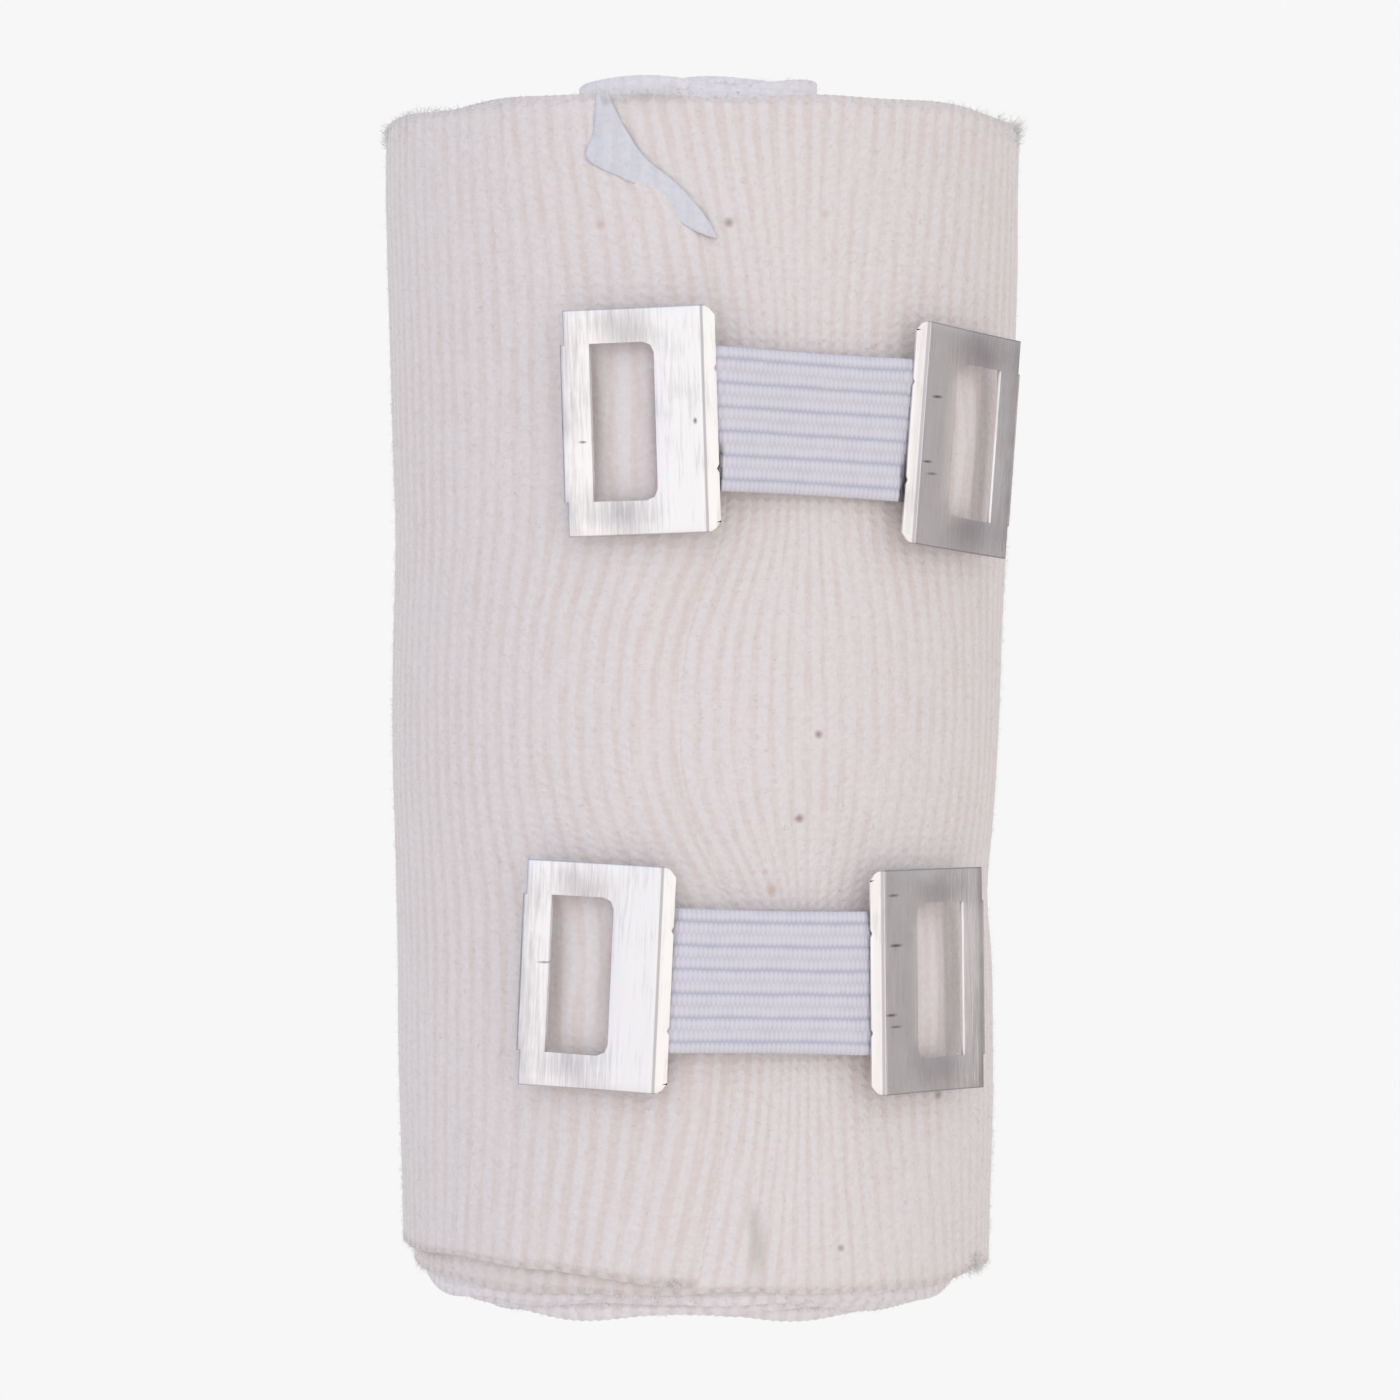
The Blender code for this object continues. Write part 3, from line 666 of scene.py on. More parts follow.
# %% Fuzz of the rims
RIM_COUNT = 18000
rim_pieces = []
for name, sign in (("upper_rim_fuzz", 1), ("lower_rim_fuzz", -1)):
    place = EDGE_PLACE + (STRIP_LENGTH - EDGE_PLACE) * rng.uniform(0, 1, RIM_COUNT) ** 1.3
    share = np.full(RIM_COUNT, 0.5 * sign)
    y = slipped(place, share) + 1.2 * rim_ripple(place, share, 1.9) - sign * rng.uniform(0, 0.7, RIM_COUNT) * MM
    lift = rng.uniform(-0.5, 0.5, RIM_COUNT) * SHEET_THICKNESS
    here, ahead, aside, out = strip_frame(place, y, lift)
    weights = (rng.normal(0, 0.7, RIM_COUNT), sign * rng.uniform(0.0, 1, RIM_COUNT), rng.normal(0.1, 0.7, RIM_COUNT))
    leans = mixed_leans((ahead, aside, out), weights)
    mesh = fibre_mesh(here, leans, rng.uniform(0.25, 0.75, RIM_COUNT) * MM, 0.022 * MM)
    rim_pieces.append(add_piece(name, mesh))

# %% [markdown]
# At three corners of the strip's visible turns the hem has frayed into small tufts.

# %% Frayed tufts
# degrees: place round the winding. sign: upper or lower rim. reach: how far the tuft stands out.
Tuft = namedtuple("Tuft", "degrees sign reach count")
TUFTS = [
    Tuft(172, 1, 1.2 * MM, 110),
    Tuft(155, 1, 0.9 * MM, 60),
    Tuft(372, 1, 1.6 * MM, 130),
    Tuft(384, 1, 1.1 * MM, 70),
    Tuft(385, -1, 1.6 * MM, 90),
]
tufts = bmesh.new()
for tuft in TUFTS:
    centre = float(np.interp(tuft.degrees, walk_degrees, walk_length))
    place = centre + rng.normal(0, 1.1, tuft.count) * MM
    share = np.full(tuft.count, 0.5 * tuft.sign)
    y = slipped(place, share) - tuft.sign * rng.uniform(0, 1.8, tuft.count) * MM
    here, ahead, aside, out = strip_frame(place, y, 0.2 * MM)
    weights = (
        rng.normal(0, 0.5, tuft.count),
        tuft.sign * rng.uniform(0.1, 1.2, tuft.count),
        rng.uniform(0.2, 1.4, tuft.count),
    )
    leans = mixed_leans((ahead, aside, out), weights)
    part = fibre_mesh(here, leans, tuft.reach * rng.uniform(0.3, 1.0, tuft.count), 0.022 * MM)
    data = bpy.data.meshes.new("part")
    part.to_mesh(data)
    part.free()
    tufts.from_mesh(data)
    bpy.data.meshes.remove(data)
rim_pieces.append(add_piece("frayed_tufts", tufts))

# %% [markdown]
# Each plate is cut and bent as a flat pattern: a frame with a window, whose metal is bent down on
# one side as a tooth and folded back under the tape on the other, and a lip that slopes towards
# the tape.

# %% Cutting and bending a plate
def grid_sheet(mesh, across, along, heights, left_out):
    """Square cells between rows of places, without those left out."""
    points = {}
    for i, x in enumerate(across):
        for j, y in enumerate(along):
            points[i, j] = mesh.verts.new((x, y, heights[i]))
    for i in range(len(across) - 1):
        for j in range(len(along) - 1):
            if (i, j) not in left_out:
                corners = [points[i, j], points[i + 1, j], points[i + 1, j + 1], points[i, j + 1]]
                mesh.faces.new(corners)
    return points


def bend_edges(mesh, edges, moves):
    """Extrudes a strip of sheet from edges by a row of moves."""
    for move in moves:
        made = bmesh.ops.extrude_edge_only(mesh, edges=edges)["geom"]
        rim = [item for item in made if isinstance(item, bmesh.types.BMVert)]
        bmesh.ops.translate(mesh, verts=rim, vec=move)
        edges = [item for item in made if isinstance(item, bmesh.types.BMEdge)]
        edges = [edge for edge in edges if all(vert in rim for vert in edge.verts)]


def chain(mesh, points, i, rows):
    """Edges of the sheet up one column of points."""
    return [mesh.edges.get((points[i, a], points[i, b])) for a, b in zip(rows, rows[1:])]


def make_plate(name, seated, nicks):
    outer_x = -PLATE_WIDTH / 2 + TAB_REACH
    window_start = WINDOW_START
    window_end = WINDOW_START + WINDOW_WIDTH
    crease = LIP_START
    half, opening = PLATE_LENGTH / 2, WINDOW_LENGTH / 2
    corner = 0.9 * MM
    across = [outer_x, outer_x + 0.6 * MM, window_start, window_end - corner, window_end]
    across += [window_end + 1.5 * MM, crease - 0.35 * MM]
    across += [crease + run for run, _ in LIP_STEPS]
    heights = [BODY_HEIGHT] * 7
    heights += [BODY_HEIGHT - drop for _, drop in LIP_STEPS]
    along = [-half, -half + 0.8 * MM, -opening, -opening + corner]
    along += [-nicks - 0.35 * MM, -nicks, -nicks + 0.35 * MM]
    along += [nicks - 0.35 * MM, nicks, nicks + 0.35 * MM, opening - corner, opening]
    along += [half - 0.8 * MM, half]
    mesh = bmesh.new()
    mesh.loops.layers.uv.new("UVMap")
    window = {(i, j) for i in (2, 3) for j in range(2, 11)}
    points = grid_sheet(mesh, across, along, heights, window)
    # The window's corners on the tape side are cut round
    for j_row, sign in ((2, 1), (11, -1)):
        points[4, j_row].co.x -= 0.27 * MM
        points[4, j_row].co.y += sign * 0.27 * MM
    # The lip's corners are cut off, and two small nicks mark where teeth were punched
    last = len(across) - 1
    for j_row, sign in ((0, 1), (13, -1)):
        points[last, j_row].co.y += sign * CORNER_CUT
        points[last - 1, j_row].co.y += sign * CORNER_CUT * 0.35
    for j_row in (5, 8):
        points[last, j_row].co.x -= 0.2 * MM
    rows = list(range(2, 12))
    hem = chain(mesh, points, 0, rows)
    bend_edges(mesh, hem, [
        Vector((-0.22 * MM, 0, -0.05 * MM)),
        Vector((-0.10 * MM, 0, -0.12 * MM)),
        Vector((-0.03 * MM, 0, -JAW_DROP + 0.17 * MM)),
    ])
    hook = chain(mesh, points, 2, rows)
    bend_edges(mesh, hook, [Vector((0.10 * MM, 0, -0.09 * MM)), Vector((0.03 * MM, 0, -HOOK_DROP))])
    root = chain(mesh, points, 4, rows[1:-1])
    bend_edges(mesh, root, [
        Vector((-0.02 * MM, 0, -0.10 * MM)),
        Vector((0.02 * MM, 0, -JAW_DROP + 0.10 * MM)),
        Vector((crease - window_end, 0, 0)),
    ])
    bmesh.ops.recalc_face_normals(mesh, faces=mesh.faces)
    bmesh.ops.solidify(mesh, geom=mesh.faces[:], thickness=SHEET)
    bmesh.ops.recalc_face_normals(mesh, faces=mesh.faces)
    sharp = [edge for edge in mesh.edges if edge.calc_face_angle(0) > math.radians(60)]
    bmesh.ops.bevel(
        mesh, geom=sharp, offset=EDGE_ROUND, offset_type="OFFSET", affect="EDGES",
        segments=2, profile=0.5, material=-1, clamp_overlap=True,
    )
    # The pull of the tape has dished the plate slightly
    for vert in mesh.verts:
        vert.co.z += PLATE_DISH * (vert.co.x / outer_x) ** 2
    layer = mesh.loops.layers.uv.active
    for face in mesh.faces:
        for loop in face.loops:
            loop[layer].uv = (loop.vert.co.x / PLATE_LENGTH + 0.5, loop.vert.co.y / PLATE_LENGTH + 0.5)
    bmesh.ops.transform(mesh, matrix=seated, verts=mesh.verts)
    piece = add_piece(name + "_metal", mesh, [name])
    piece.data.set_sharp_from_angle(angle=math.radians(40))
    return piece


# %% [markdown]
# The tape is woven over a dozen rubber cords, which show as round ridges along it. It is pulled
# tight between the plates, so its middle follows the outline that a stretched string would
# take over the roll, and its ends are pinched flat inside the crimps.

# %% The path of a tape
Station = namedtuple("Station", "point upright thickness")


def upper_hull(points):
    hull = []
    for point in points:
        while len(hull) > 1:
            a, b = hull[-2], hull[-1]
            if (b.x - a.x) * (point.z - a.z) - (b.z - a.z) * (point.x - a.x) < 0:
                break
            hull.pop()
        hull.append(point)
    return hull


def band_cover(x, y):
    best = None
    for share in (-0.5, -0.25, 0.0, 0.25, 0.5):
        side = y + BAND_WIDTH * share
        layer = 0 if x < free_edge(side) + SEAT_GAP else 1
        place = length_at(x, side, layer)
        spot = wind(place, side, CLOTH / 2 + SEAT_GAP + BAND_THICKNESS / 2)
        if best is None or spot[2] > best.z:
            best = Vector((float(spot[0]), y, float(spot[2])))
    return best


def band_path(left, right, count):
    """Stations of the tape's middle from one crimp to the other."""
    edge = PLATE_WIDTH / 2
    depth = edge - WINDOW_START - WINDOW_WIDTH - CRIMP_END_GAP
    tails, mouths = [], []
    for seated in (left, right):
        tails.append(seated @ Vector((edge - depth, 0, BAND_HEIGHT)))
        mouths.append(seated @ Vector((edge + 0.25 * MM, 0, BAND_HEIGHT)))
    cover = []
    for index in range(1, 60):
        spot = mouths[0].lerp(mouths[1], index / 60)
        cover.append(band_cover(spot.x, spot.y))
    first, last = mouths[0].x + 0.8 * MM, mouths[1].x - 0.8 * MM
    cover = sorted((p for p in cover if first < p.x < last), key=lambda p: p.x)
    hull = upper_hull([mouths[0]] + cover + [mouths[1]])
    walked = np.concatenate([[0.0], np.cumsum([(b - a).length for a, b in zip(hull, hull[1:])])])
    keys = np.linspace(0, walked[-1], count)
    axes = [np.interp(keys, walked, [p[axis] for p in hull]) for axis in range(3)]
    for _ in range(12):
        for values in axes:
            values[1:-1] = 0.5 * values[1:-1] + 0.25 * (values[:-2] + values[2:])
    span = [Vector(p) for p in zip(*axes)]
    stations = [Station(tails[0], left.col[2].xyz, PINCHED_THICKNESS)]
    for index, point in enumerate(span):
        run = span[min(index + 1, count - 1)] - span[max(index - 1, 0)]
        upright = Vector((-run.z, 0, run.x)).normalized()
        from_end = min(keys[index], keys[-1] - keys[index])
        full = min(1.0, from_end / (1.3 * MM))
        thickness = PINCHED_THICKNESS + (BAND_THICKNESS - PINCHED_THICKNESS) * math.sin(full * math.pi / 2)
        stations.append(Station(point, upright, thickness))
    stations.append(Station(tails[1], right.col[2].xyz, PINCHED_THICKNESS))
    return stations


# %% Weaving a tape
CORDS = 12
SAMPLES_PER_CORD = 6
WEFT = 0.80 * MM


def cord_groove(phase):
    """Depth of the groove between two cords, deeper at every second one."""
    nearest = round(phase)
    depth = 0.045 if nearest % 2 else 0.025
    return depth * math.exp(-(((phase - nearest) / 0.2) ** 2))


def make_band(name, left, right):
    path = band_path(left, right, 100)
    across_count = CORDS * SAMPLES_PER_CORD
    mesh = bmesh.new()
    flat_grid(mesh, len(path) - 1, 2 * across_count - 1)
    verts = list(mesh.verts)
    walked = 0.0
    places = np.zeros((2 * across_count, len(path)))
    for i, station in enumerate(path):
        before, after = path[max(i - 1, 0)].point, path[min(i + 1, len(path) - 1)].point
        side = (after - before).cross(station.upright).normalized()
        if i:
            walked += (station.point - path[i - 1].point).length
        for j in range(2 * across_count):
            top = j < across_count
            share = (j if top else 2 * across_count - 1 - j) / (across_count - 1)
            weft = math.sin(2 * math.pi * walked / WEFT + math.pi * (int(CORDS * share) % 2))
            edge = 0.5 * math.sqrt(min(1.0, min(share, 1 - share) * CORDS / 0.7 + 0.12))
            full = station.thickness / BAND_THICKNESS
            rise = station.thickness * (edge - cord_groove(CORDS * share)) + 0.012 * MM * weft * full
            height = rise if top else -rise
            width = BAND_WIDTH * (share - 0.5) * (1.0 - 0.015 * math.sin(math.pi * i / (len(path) - 1)))
            vert = verts[j * len(path) + i]
            vert.co = station.point + side * width + station.upright * height
            places[j, i] = walked
    uv_layer = mesh.loops.layers.uv.active
    for face in mesh.faces:
        for loop in face.loops:
            j, i = divmod(loop.vert.index, len(path))
            share = (j if j < across_count else 2 * across_count - 1 - j) / (across_count - 1)
            loop[uv_layer].uv = (places[j, i] * 100, share)
    first_row = [verts[i] for i in range(len(path))]
    last_row = [verts[(2 * across_count - 1) * len(path) + i] for i in range(len(path))]
    for a, b, c, d in zip(first_row, first_row[1:], last_row[1:], last_row):
        mesh.faces.new((a, d, c, b))
    ends = [edge for edge in mesh.edges if edge.is_boundary]
    bmesh.ops.holes_fill(mesh, edges=ends, sides=0)
    bmesh.ops.recalc_face_normals(mesh, faces=mesh.faces)
    return add_piece(name + "_tape", mesh, [name])


plates, bands = [], []
for clip in CLIPS:
    left, right = SEATS[clip.name + "_plate_left"], SEATS[clip.name + "_plate_right"]
    for side, seated in (("left", left), ("right", right)):
        plates.append(make_plate(f"{clip.name}_plate_{side}", seated, 4.15 * MM))
        cad_low, cad_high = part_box(f"{clip.name}_plate_{side}")
        gap = (seated @ Vector((0, 0, BODY_HEIGHT)) + FRAME_SHIFT) - (cad_low + cad_high) / 2
        print(clip.name, side, "plate, mm from the middle of its solid:", [round(g * 1000, 2) for g in gap])
    bands.append(make_band(f"{clip.name}_band", left, right))


# %% [markdown]
# Colours are written as they look on a screen, so one function turns them to linear light, and
# one more adds a shader node with its settings and links.

# %% Helpers for materials
def linear(code, alpha=1.0):
    values = [int(code[i : i + 2], 16) / 255 for i in (1, 3, 5)]
    return tuple(v / 12.92 if v <= 0.04045 else ((v + 0.055) / 1.055) ** 2.4 for v in values) + (alpha,)


def add_node(tree, kind, settings=(), links=()):
    """Adds a node; settings are (name or index, value), links are (input, output socket)."""
    node = tree.nodes.new(kind)
    for name, value in settings:
        if isinstance(name, str) and hasattr(node, name) and name not in node.inputs:
            setattr(node, name, value)
        else:
            node.inputs[name].default_value = value
    for name, source in links:
        tree.links.new(source, node.inputs[name])
    return node


def new_material(name):
    material = bpy.data.materials.new(name)
    material.use_nodes = True
    tree = material.node_tree
    return material, tree, tree.nodes["Principled BSDF"]


def math_node(tree, operation, *values):
    """Arithmetic on numbers and sockets."""
    node = add_node(tree, "ShaderNodeMath", [("operation", operation)])
    for index, value in enumerate(values):
        if isinstance(value, bpy.types.NodeSocket):
            tree.links.new(value, node.inputs[index])
        else:
            node.inputs[index].default_value = value
    return node.outputs[0]


# %% [markdown]
# The strip is used: a few small spots of rust and dirt lie on it, and a faint stain runs down to
# its lower rim. The clips have dark scratches. Each is a place seen from above, measured from the
# middle of the roll's face, with a size, how many times longer it is along the roll than across,
# a colour and a strength.

# %% Spots on the cloth and scratches on the metal
Spot = namedtuple("Spot", "x y size tall colour strength")
SPOTS = [
    Spot(2.4, 38.9, 0.55, 1.0, "#8D7066", 0.60),
    Spot(-8.3, 38.8, 0.55, 1.0, "#C79A77", 0.32),
    Spot(10.5, 39.8, 0.50, 1.0, "#CBA283", 0.34),
    Spot(9.9, -3.7, 0.45, 1.0, "#8F5F50", 0.62),
    Spot(8.3, -10.7, 0.50, 1.0, "#8F5F50", 0.66),
    Spot(6.0, -16.6, 0.60, 1.3, "#C08A66", 0.40),
    Spot(5.4, -15.2, 0.40, 1.0, "#C08A66", 0.25),
    Spot(20.3, -34.5, 0.50, 1.0, "#77747A", 0.50),
    Spot(11.8, -46.7, 0.40, 1.0, "#85767A", 0.55),
    Spot(4.8, -46.4, 1.00, 3.6, "#A9A79A", 0.42),
    Spot(4.3, -43.8, 0.70, 3.0, "#B4AFA4", 0.30),
]
SCRATCHES = [
    Spot(-9.7, 20.5, 0.42, 0.35, "#55575F", 0.80),
    Spot(-0.4, 22.2, 0.22, 1.60, "#55575F", 0.80),
    Spot(-12.9, -22.6, 0.85, 0.16, "#6A6C74", 0.70),
    Spot(-11.9, -20.0, 0.50, 0.25, "#6A6C74", 0.45),
    Spot(20.0, 24.7, 0.60, 0.30, "#3E4048", 0.75),
    Spot(19.1, 19.2, 0.55, 0.28, "#3E4048", 0.75),
    Spot(19.5, 18.2, 0.60, 0.25, "#3E4048", 0.60),
    Spot(16.2, -17.2, 0.65, 0.25, "#3E4048", 0.60),
    Spot(16.4, -21.4, 0.70, 0.28, "#3E4048", 0.75),
    Spot(16.0, -27.2, 0.60, 0.28, "#3E4048", 0.75),
    Spot(16.4, -28.2, 0.65, 0.22, "#3E4048", 0.60),
]


def add_spots(tree, coords, colour, spots):
    """Mixes spots into a colour by their distance seen from above."""
    for spot in spots:
        squash = (1.0, 1.0 / spot.tall, 0.0)
        flat = add_node(
            tree, "ShaderNodeVectorMath", [("operation", "MULTIPLY"), (1, squash)],
            [(0, coords.outputs["Object"])],
        )
        place = (spot.x * MM + FRAME_SHIFT.x, (spot.y * MM + FRAME_SHIFT.y) / spot.tall, 0.0)
        apart = add_node(
            tree, "ShaderNodeVectorMath", [("operation", "DISTANCE"), (1, place)],
            [(0, flat.outputs[0])],
        )
        inside = add_node(
            tree, "ShaderNodeMapRange",
            [("From Min", spot.size * MM * 0.2), ("From Max", spot.size * MM),
             ("To Min", spot.strength), ("To Max", 0.0)],
            [("Value", apart.outputs["Value"])],
        )
        blend = add_node(
            tree, "ShaderNodeMix", [("data_type", "RGBA"), (7, linear(spot.colour))],
            [(0, inside.outputs[0]), (6, colour)],
        )
        colour = blend.outputs[2]
    return colour


def ramp_node(tree, value, *stops):
    """A colour ramp through stops of position and colour code."""
    ramp = add_node(tree, "ShaderNodeValToRGB", links=[(0, value)])
    for _ in stops[2:]:
        ramp.color_ramp.elements.new(0.5)
    for element, (position, code) in zip(ramp.color_ramp.elements, stops):
        element.position = position
        element.color = linear(code)
    return ramp.outputs[0]


def noise_node(tree, coords, scale, detail, roughness=0.5):
    settings = [("Scale", scale), ("Detail", detail), ("Roughness", roughness)]
    return add_node(tree, "ShaderNodeTexNoise", settings, [("Vector", coords)]).outputs[0]


# %% [markdown]
# Crepe is cotton knitted over elastic yarn. The raised ribs are bleached white and the grooves
# between them are painted darker and warmer, as painted shade, so the colour follows the ribs. Its
# surface is matt and fuzzy, which a high roughness and a little sheen give. The back, which the
# turned corner shows, is plain, and painted a little darker and cooler, as painted shade. The
# inner turns at the rims are painted a little lighter, as painted light against the shade between
# the turns.

# %% Knitted crepe
def crepe(name, groove, ridge, spots):
    material, tree, shader = new_material(name)
    uv = add_node(tree, "ShaderNodeUVMap")
    coords = add_node(tree, "ShaderNodeTexCoord")
    split = add_node(tree, "ShaderNodeSeparateXYZ", links=[(0, uv.outputs[0])])
    along_ribs = add_node(tree, "ShaderNodeMapping", [("Scale", (160.0, 18.0, 1.0))], [("Vector", uv.outputs[0])])
    cloudy = noise_node(tree, coords.outputs["Object"], 55.0, 4.0)
    streaks = noise_node(tree, along_ribs.outputs[0], 1.0, 3.0, 0.6)
    fuzz = noise_node(tree, coords.outputs["Object"], 1900.0, 3.0, 0.7)
    ribs = math_node(tree, "MULTIPLY", split.outputs[0], 2 * math.pi * 0.1 / RIB)
    wave = math_node(tree, "MULTIPLY_ADD", math_node(tree, "COSINE", ribs), 0.5, 0.5)
    fine = math_node(tree, "COSINE", math_node(tree, "MULTIPLY", ribs, 2.0))
    wave = math_node(tree, "MULTIPLY_ADD", fine, 0.10, wave)
    uneven = math_node(tree, "MULTIPLY_ADD", cloudy, 1.3, -0.55)
    uneven = math_node(tree, "ADD", uneven, math_node(tree, "MULTIPLY_ADD", streaks, 2.2, -1.1))
    # The grooves take the darker, warmer colour: painted shade in the grooves between the ribs
    colour = ramp_node(tree, math_node(tree, "ADD", wave, uneven), (0.05, groove), (0.75, ridge))
    speckled = add_node(
        tree, "ShaderNodeMix", [("data_type", "RGBA"), ("blend_type", "MULTIPLY"), (0, 0.3)],
        [(6, colour), (7, ramp_node(tree, fuzz, (0.35, "#E8E2E0"), (0.65, "#FFFFFF")))],
    )
    tree.links.new(add_spots(tree, coords, speckled.outputs[2], spots), shader.inputs["Base Color"])
    stitch = math_node(tree, "MULTIPLY", split.outputs[1], 2 * math.pi * STRIP_WIDTH / (0.85 * MM))
    half_rib = math_node(tree, "SINE", math_node(tree, "MULTIPLY", ribs, 0.5))
    slant = math_node(tree, "MULTIPLY_ADD", math_node(tree, "ABSOLUTE", half_rib), 3.0, stitch)
    loops = math_node(tree, "MULTIPLY_ADD", math_node(tree, "SINE", slant), 0.5, 0.5)
    knit = math_node(tree, "MULTIPLY_ADD", loops, 0.05, math_node(tree, "MULTIPLY", fuzz, 0.14))
    bump = add_node(tree, "ShaderNodeBump", [("Strength", 0.6), ("Distance", 1.0 * MM)], [("Height", knit)])
    tree.links.new(bump.outputs[0], shader.inputs["Normal"])
    shader.inputs["Roughness"].default_value = 0.95
    shader.inputs["Sheen Weight"].default_value = 0.15
    shader.inputs["Sheen Roughness"].default_value = 0.5
    shader.inputs["Specular IOR Level"].default_value = 0.1
    return material


def fibre():
    """Loose cotton: light passes through a single fibre, so it never looks dark."""
    material, tree, shader = new_material("loose_cotton_fibre")
    coords = add_node(tree, "ShaderNodeTexCoord")
    tone = noise_node(tree, coords.outputs["Object"], 300.0, 3.0)
    colour = ramp_node(tree, tone, (0.3, "#F8F5F4"), (0.6, "#FFFFFF"))
    tree.links.new(colour, shader.inputs["Base Color"])
    shader.inputs["Roughness"].default_value = 1.0
    shader.inputs["Specular IOR Level"].default_value = 0.0
    through = add_node(tree, "ShaderNodeBsdfTranslucent", links=[("Color", colour)])
    both = add_node(
        tree, "ShaderNodeMixShader", [(0, 0.5)],
        [(1, shader.outputs[0]), (2, through.outputs[0])],
    )
    tree.links.new(both.outputs[0], tree.nodes["Material Output"].inputs["Surface"])
    return material


# Brushed cotton crepe; its rims, painted lighter as painted light; its plain back, painted darker and cooler as
# painted shade; and loose cotton fibre
crepe_face = crepe("cotton_crepe_face", "#E2D9D6", "#E7E2E2", SPOTS)
crepe_rims_painted_lighter = crepe("cotton_crepe_rims", "#EBE7E9", "#F2F0F4", [])
crepe_back_painted_shade = crepe("cotton_crepe_back", "#D9DAE2", "#DEE0E7", [])
cotton_fibre = fibre()
outer_turn.data.materials.append(crepe_face)
inner_turns.data.materials.append(crepe_rims_painted_lighter)
turned_corner.data.materials.append(crepe_back_painted_shade)
for piece in [surface_fuzz, *rim_pieces]:
    piece.data.materials.append(cotton_fibre)


# %% [markdown]
# The tape is polyester, a whiter and cooler white than the cotton round it. Its weft shows as
# short dashes across every cord, set off from one cord to the next.

# %% Woven elastic tape
def tape():
    material, tree, shader = new_material("woven_elastic_tape")
    uv = add_node(tree, "ShaderNodeUVMap")
    coords = add_node(tree, "ShaderNodeTexCoord")
    split = add_node(tree, "ShaderNodeSeparateXYZ", links=[(0, uv.outputs[0])])
    noise = noise_node(tree, coords.outputs["Object"], 700.0, 3.0, 0.6)
    wander = noise_node(tree, coords.outputs["Object"], 260.0, 2.0)
    phase = math_node(tree, "MULTIPLY_ADD", split.outputs[1], float(CORDS), -0.12)
    phase = math_node(tree, "MULTIPLY_ADD", wander, 0.24, phase)
    # Painted shade: the grooves between the cords are darker, deeper at every second one
    near = math_node(tree, "MULTIPLY_ADD", math_node(tree, "PINGPONG", phase, 0.5), -2.4, 1.0)
    deeper = math_node(tree, "MULTIPLY_ADD", math_node(tree, "PINGPONG", phase, 1.0), 0.7, 0.3)
    groove = math_node(tree, "MULTIPLY", math_node(tree, "MAXIMUM", near, 0.0), deeper)
    odd = math_node(tree, "MULTIPLY", math_node(tree, "FLOOR", phase), math.pi)
    weft = math_node(tree, "MULTIPLY_ADD", split.outputs[0], 2 * math.pi * 0.01 / (WEFT / 2), odd)
    dashes = math_node(tree, "SINE", weft)
    level = math_node(tree, "MULTIPLY_ADD", dashes, 0.20, groove)
    level = math_node(tree, "MULTIPLY_ADD", noise, 0.7, math_node(tree, "SUBTRACT", level, 0.35))
    colour = ramp_node(tree, level, (0.0, "#DAD9E2"), (0.45, "#CDCDD8"), (1.0, "#BABCCC"))
    tree.links.new(colour, shader.inputs["Base Color"])
    knit = math_node(tree, "MULTIPLY_ADD", dashes, 0.02, math_node(tree, "MULTIPLY", noise, 0.10))
    bump = add_node(tree, "ShaderNodeBump", [("Strength", 0.6), ("Distance", 1.0 * MM)], [("Height", knit)])
    tree.links.new(bump.outputs[0], shader.inputs["Normal"])
    shader.inputs["Roughness"].default_value = 0.8
    shader.inputs["Sheen Weight"].default_value = 0.15
    return material


elastic_weave = tape()
for piece in bands:
    piece.data.materials.append(elastic_weave)
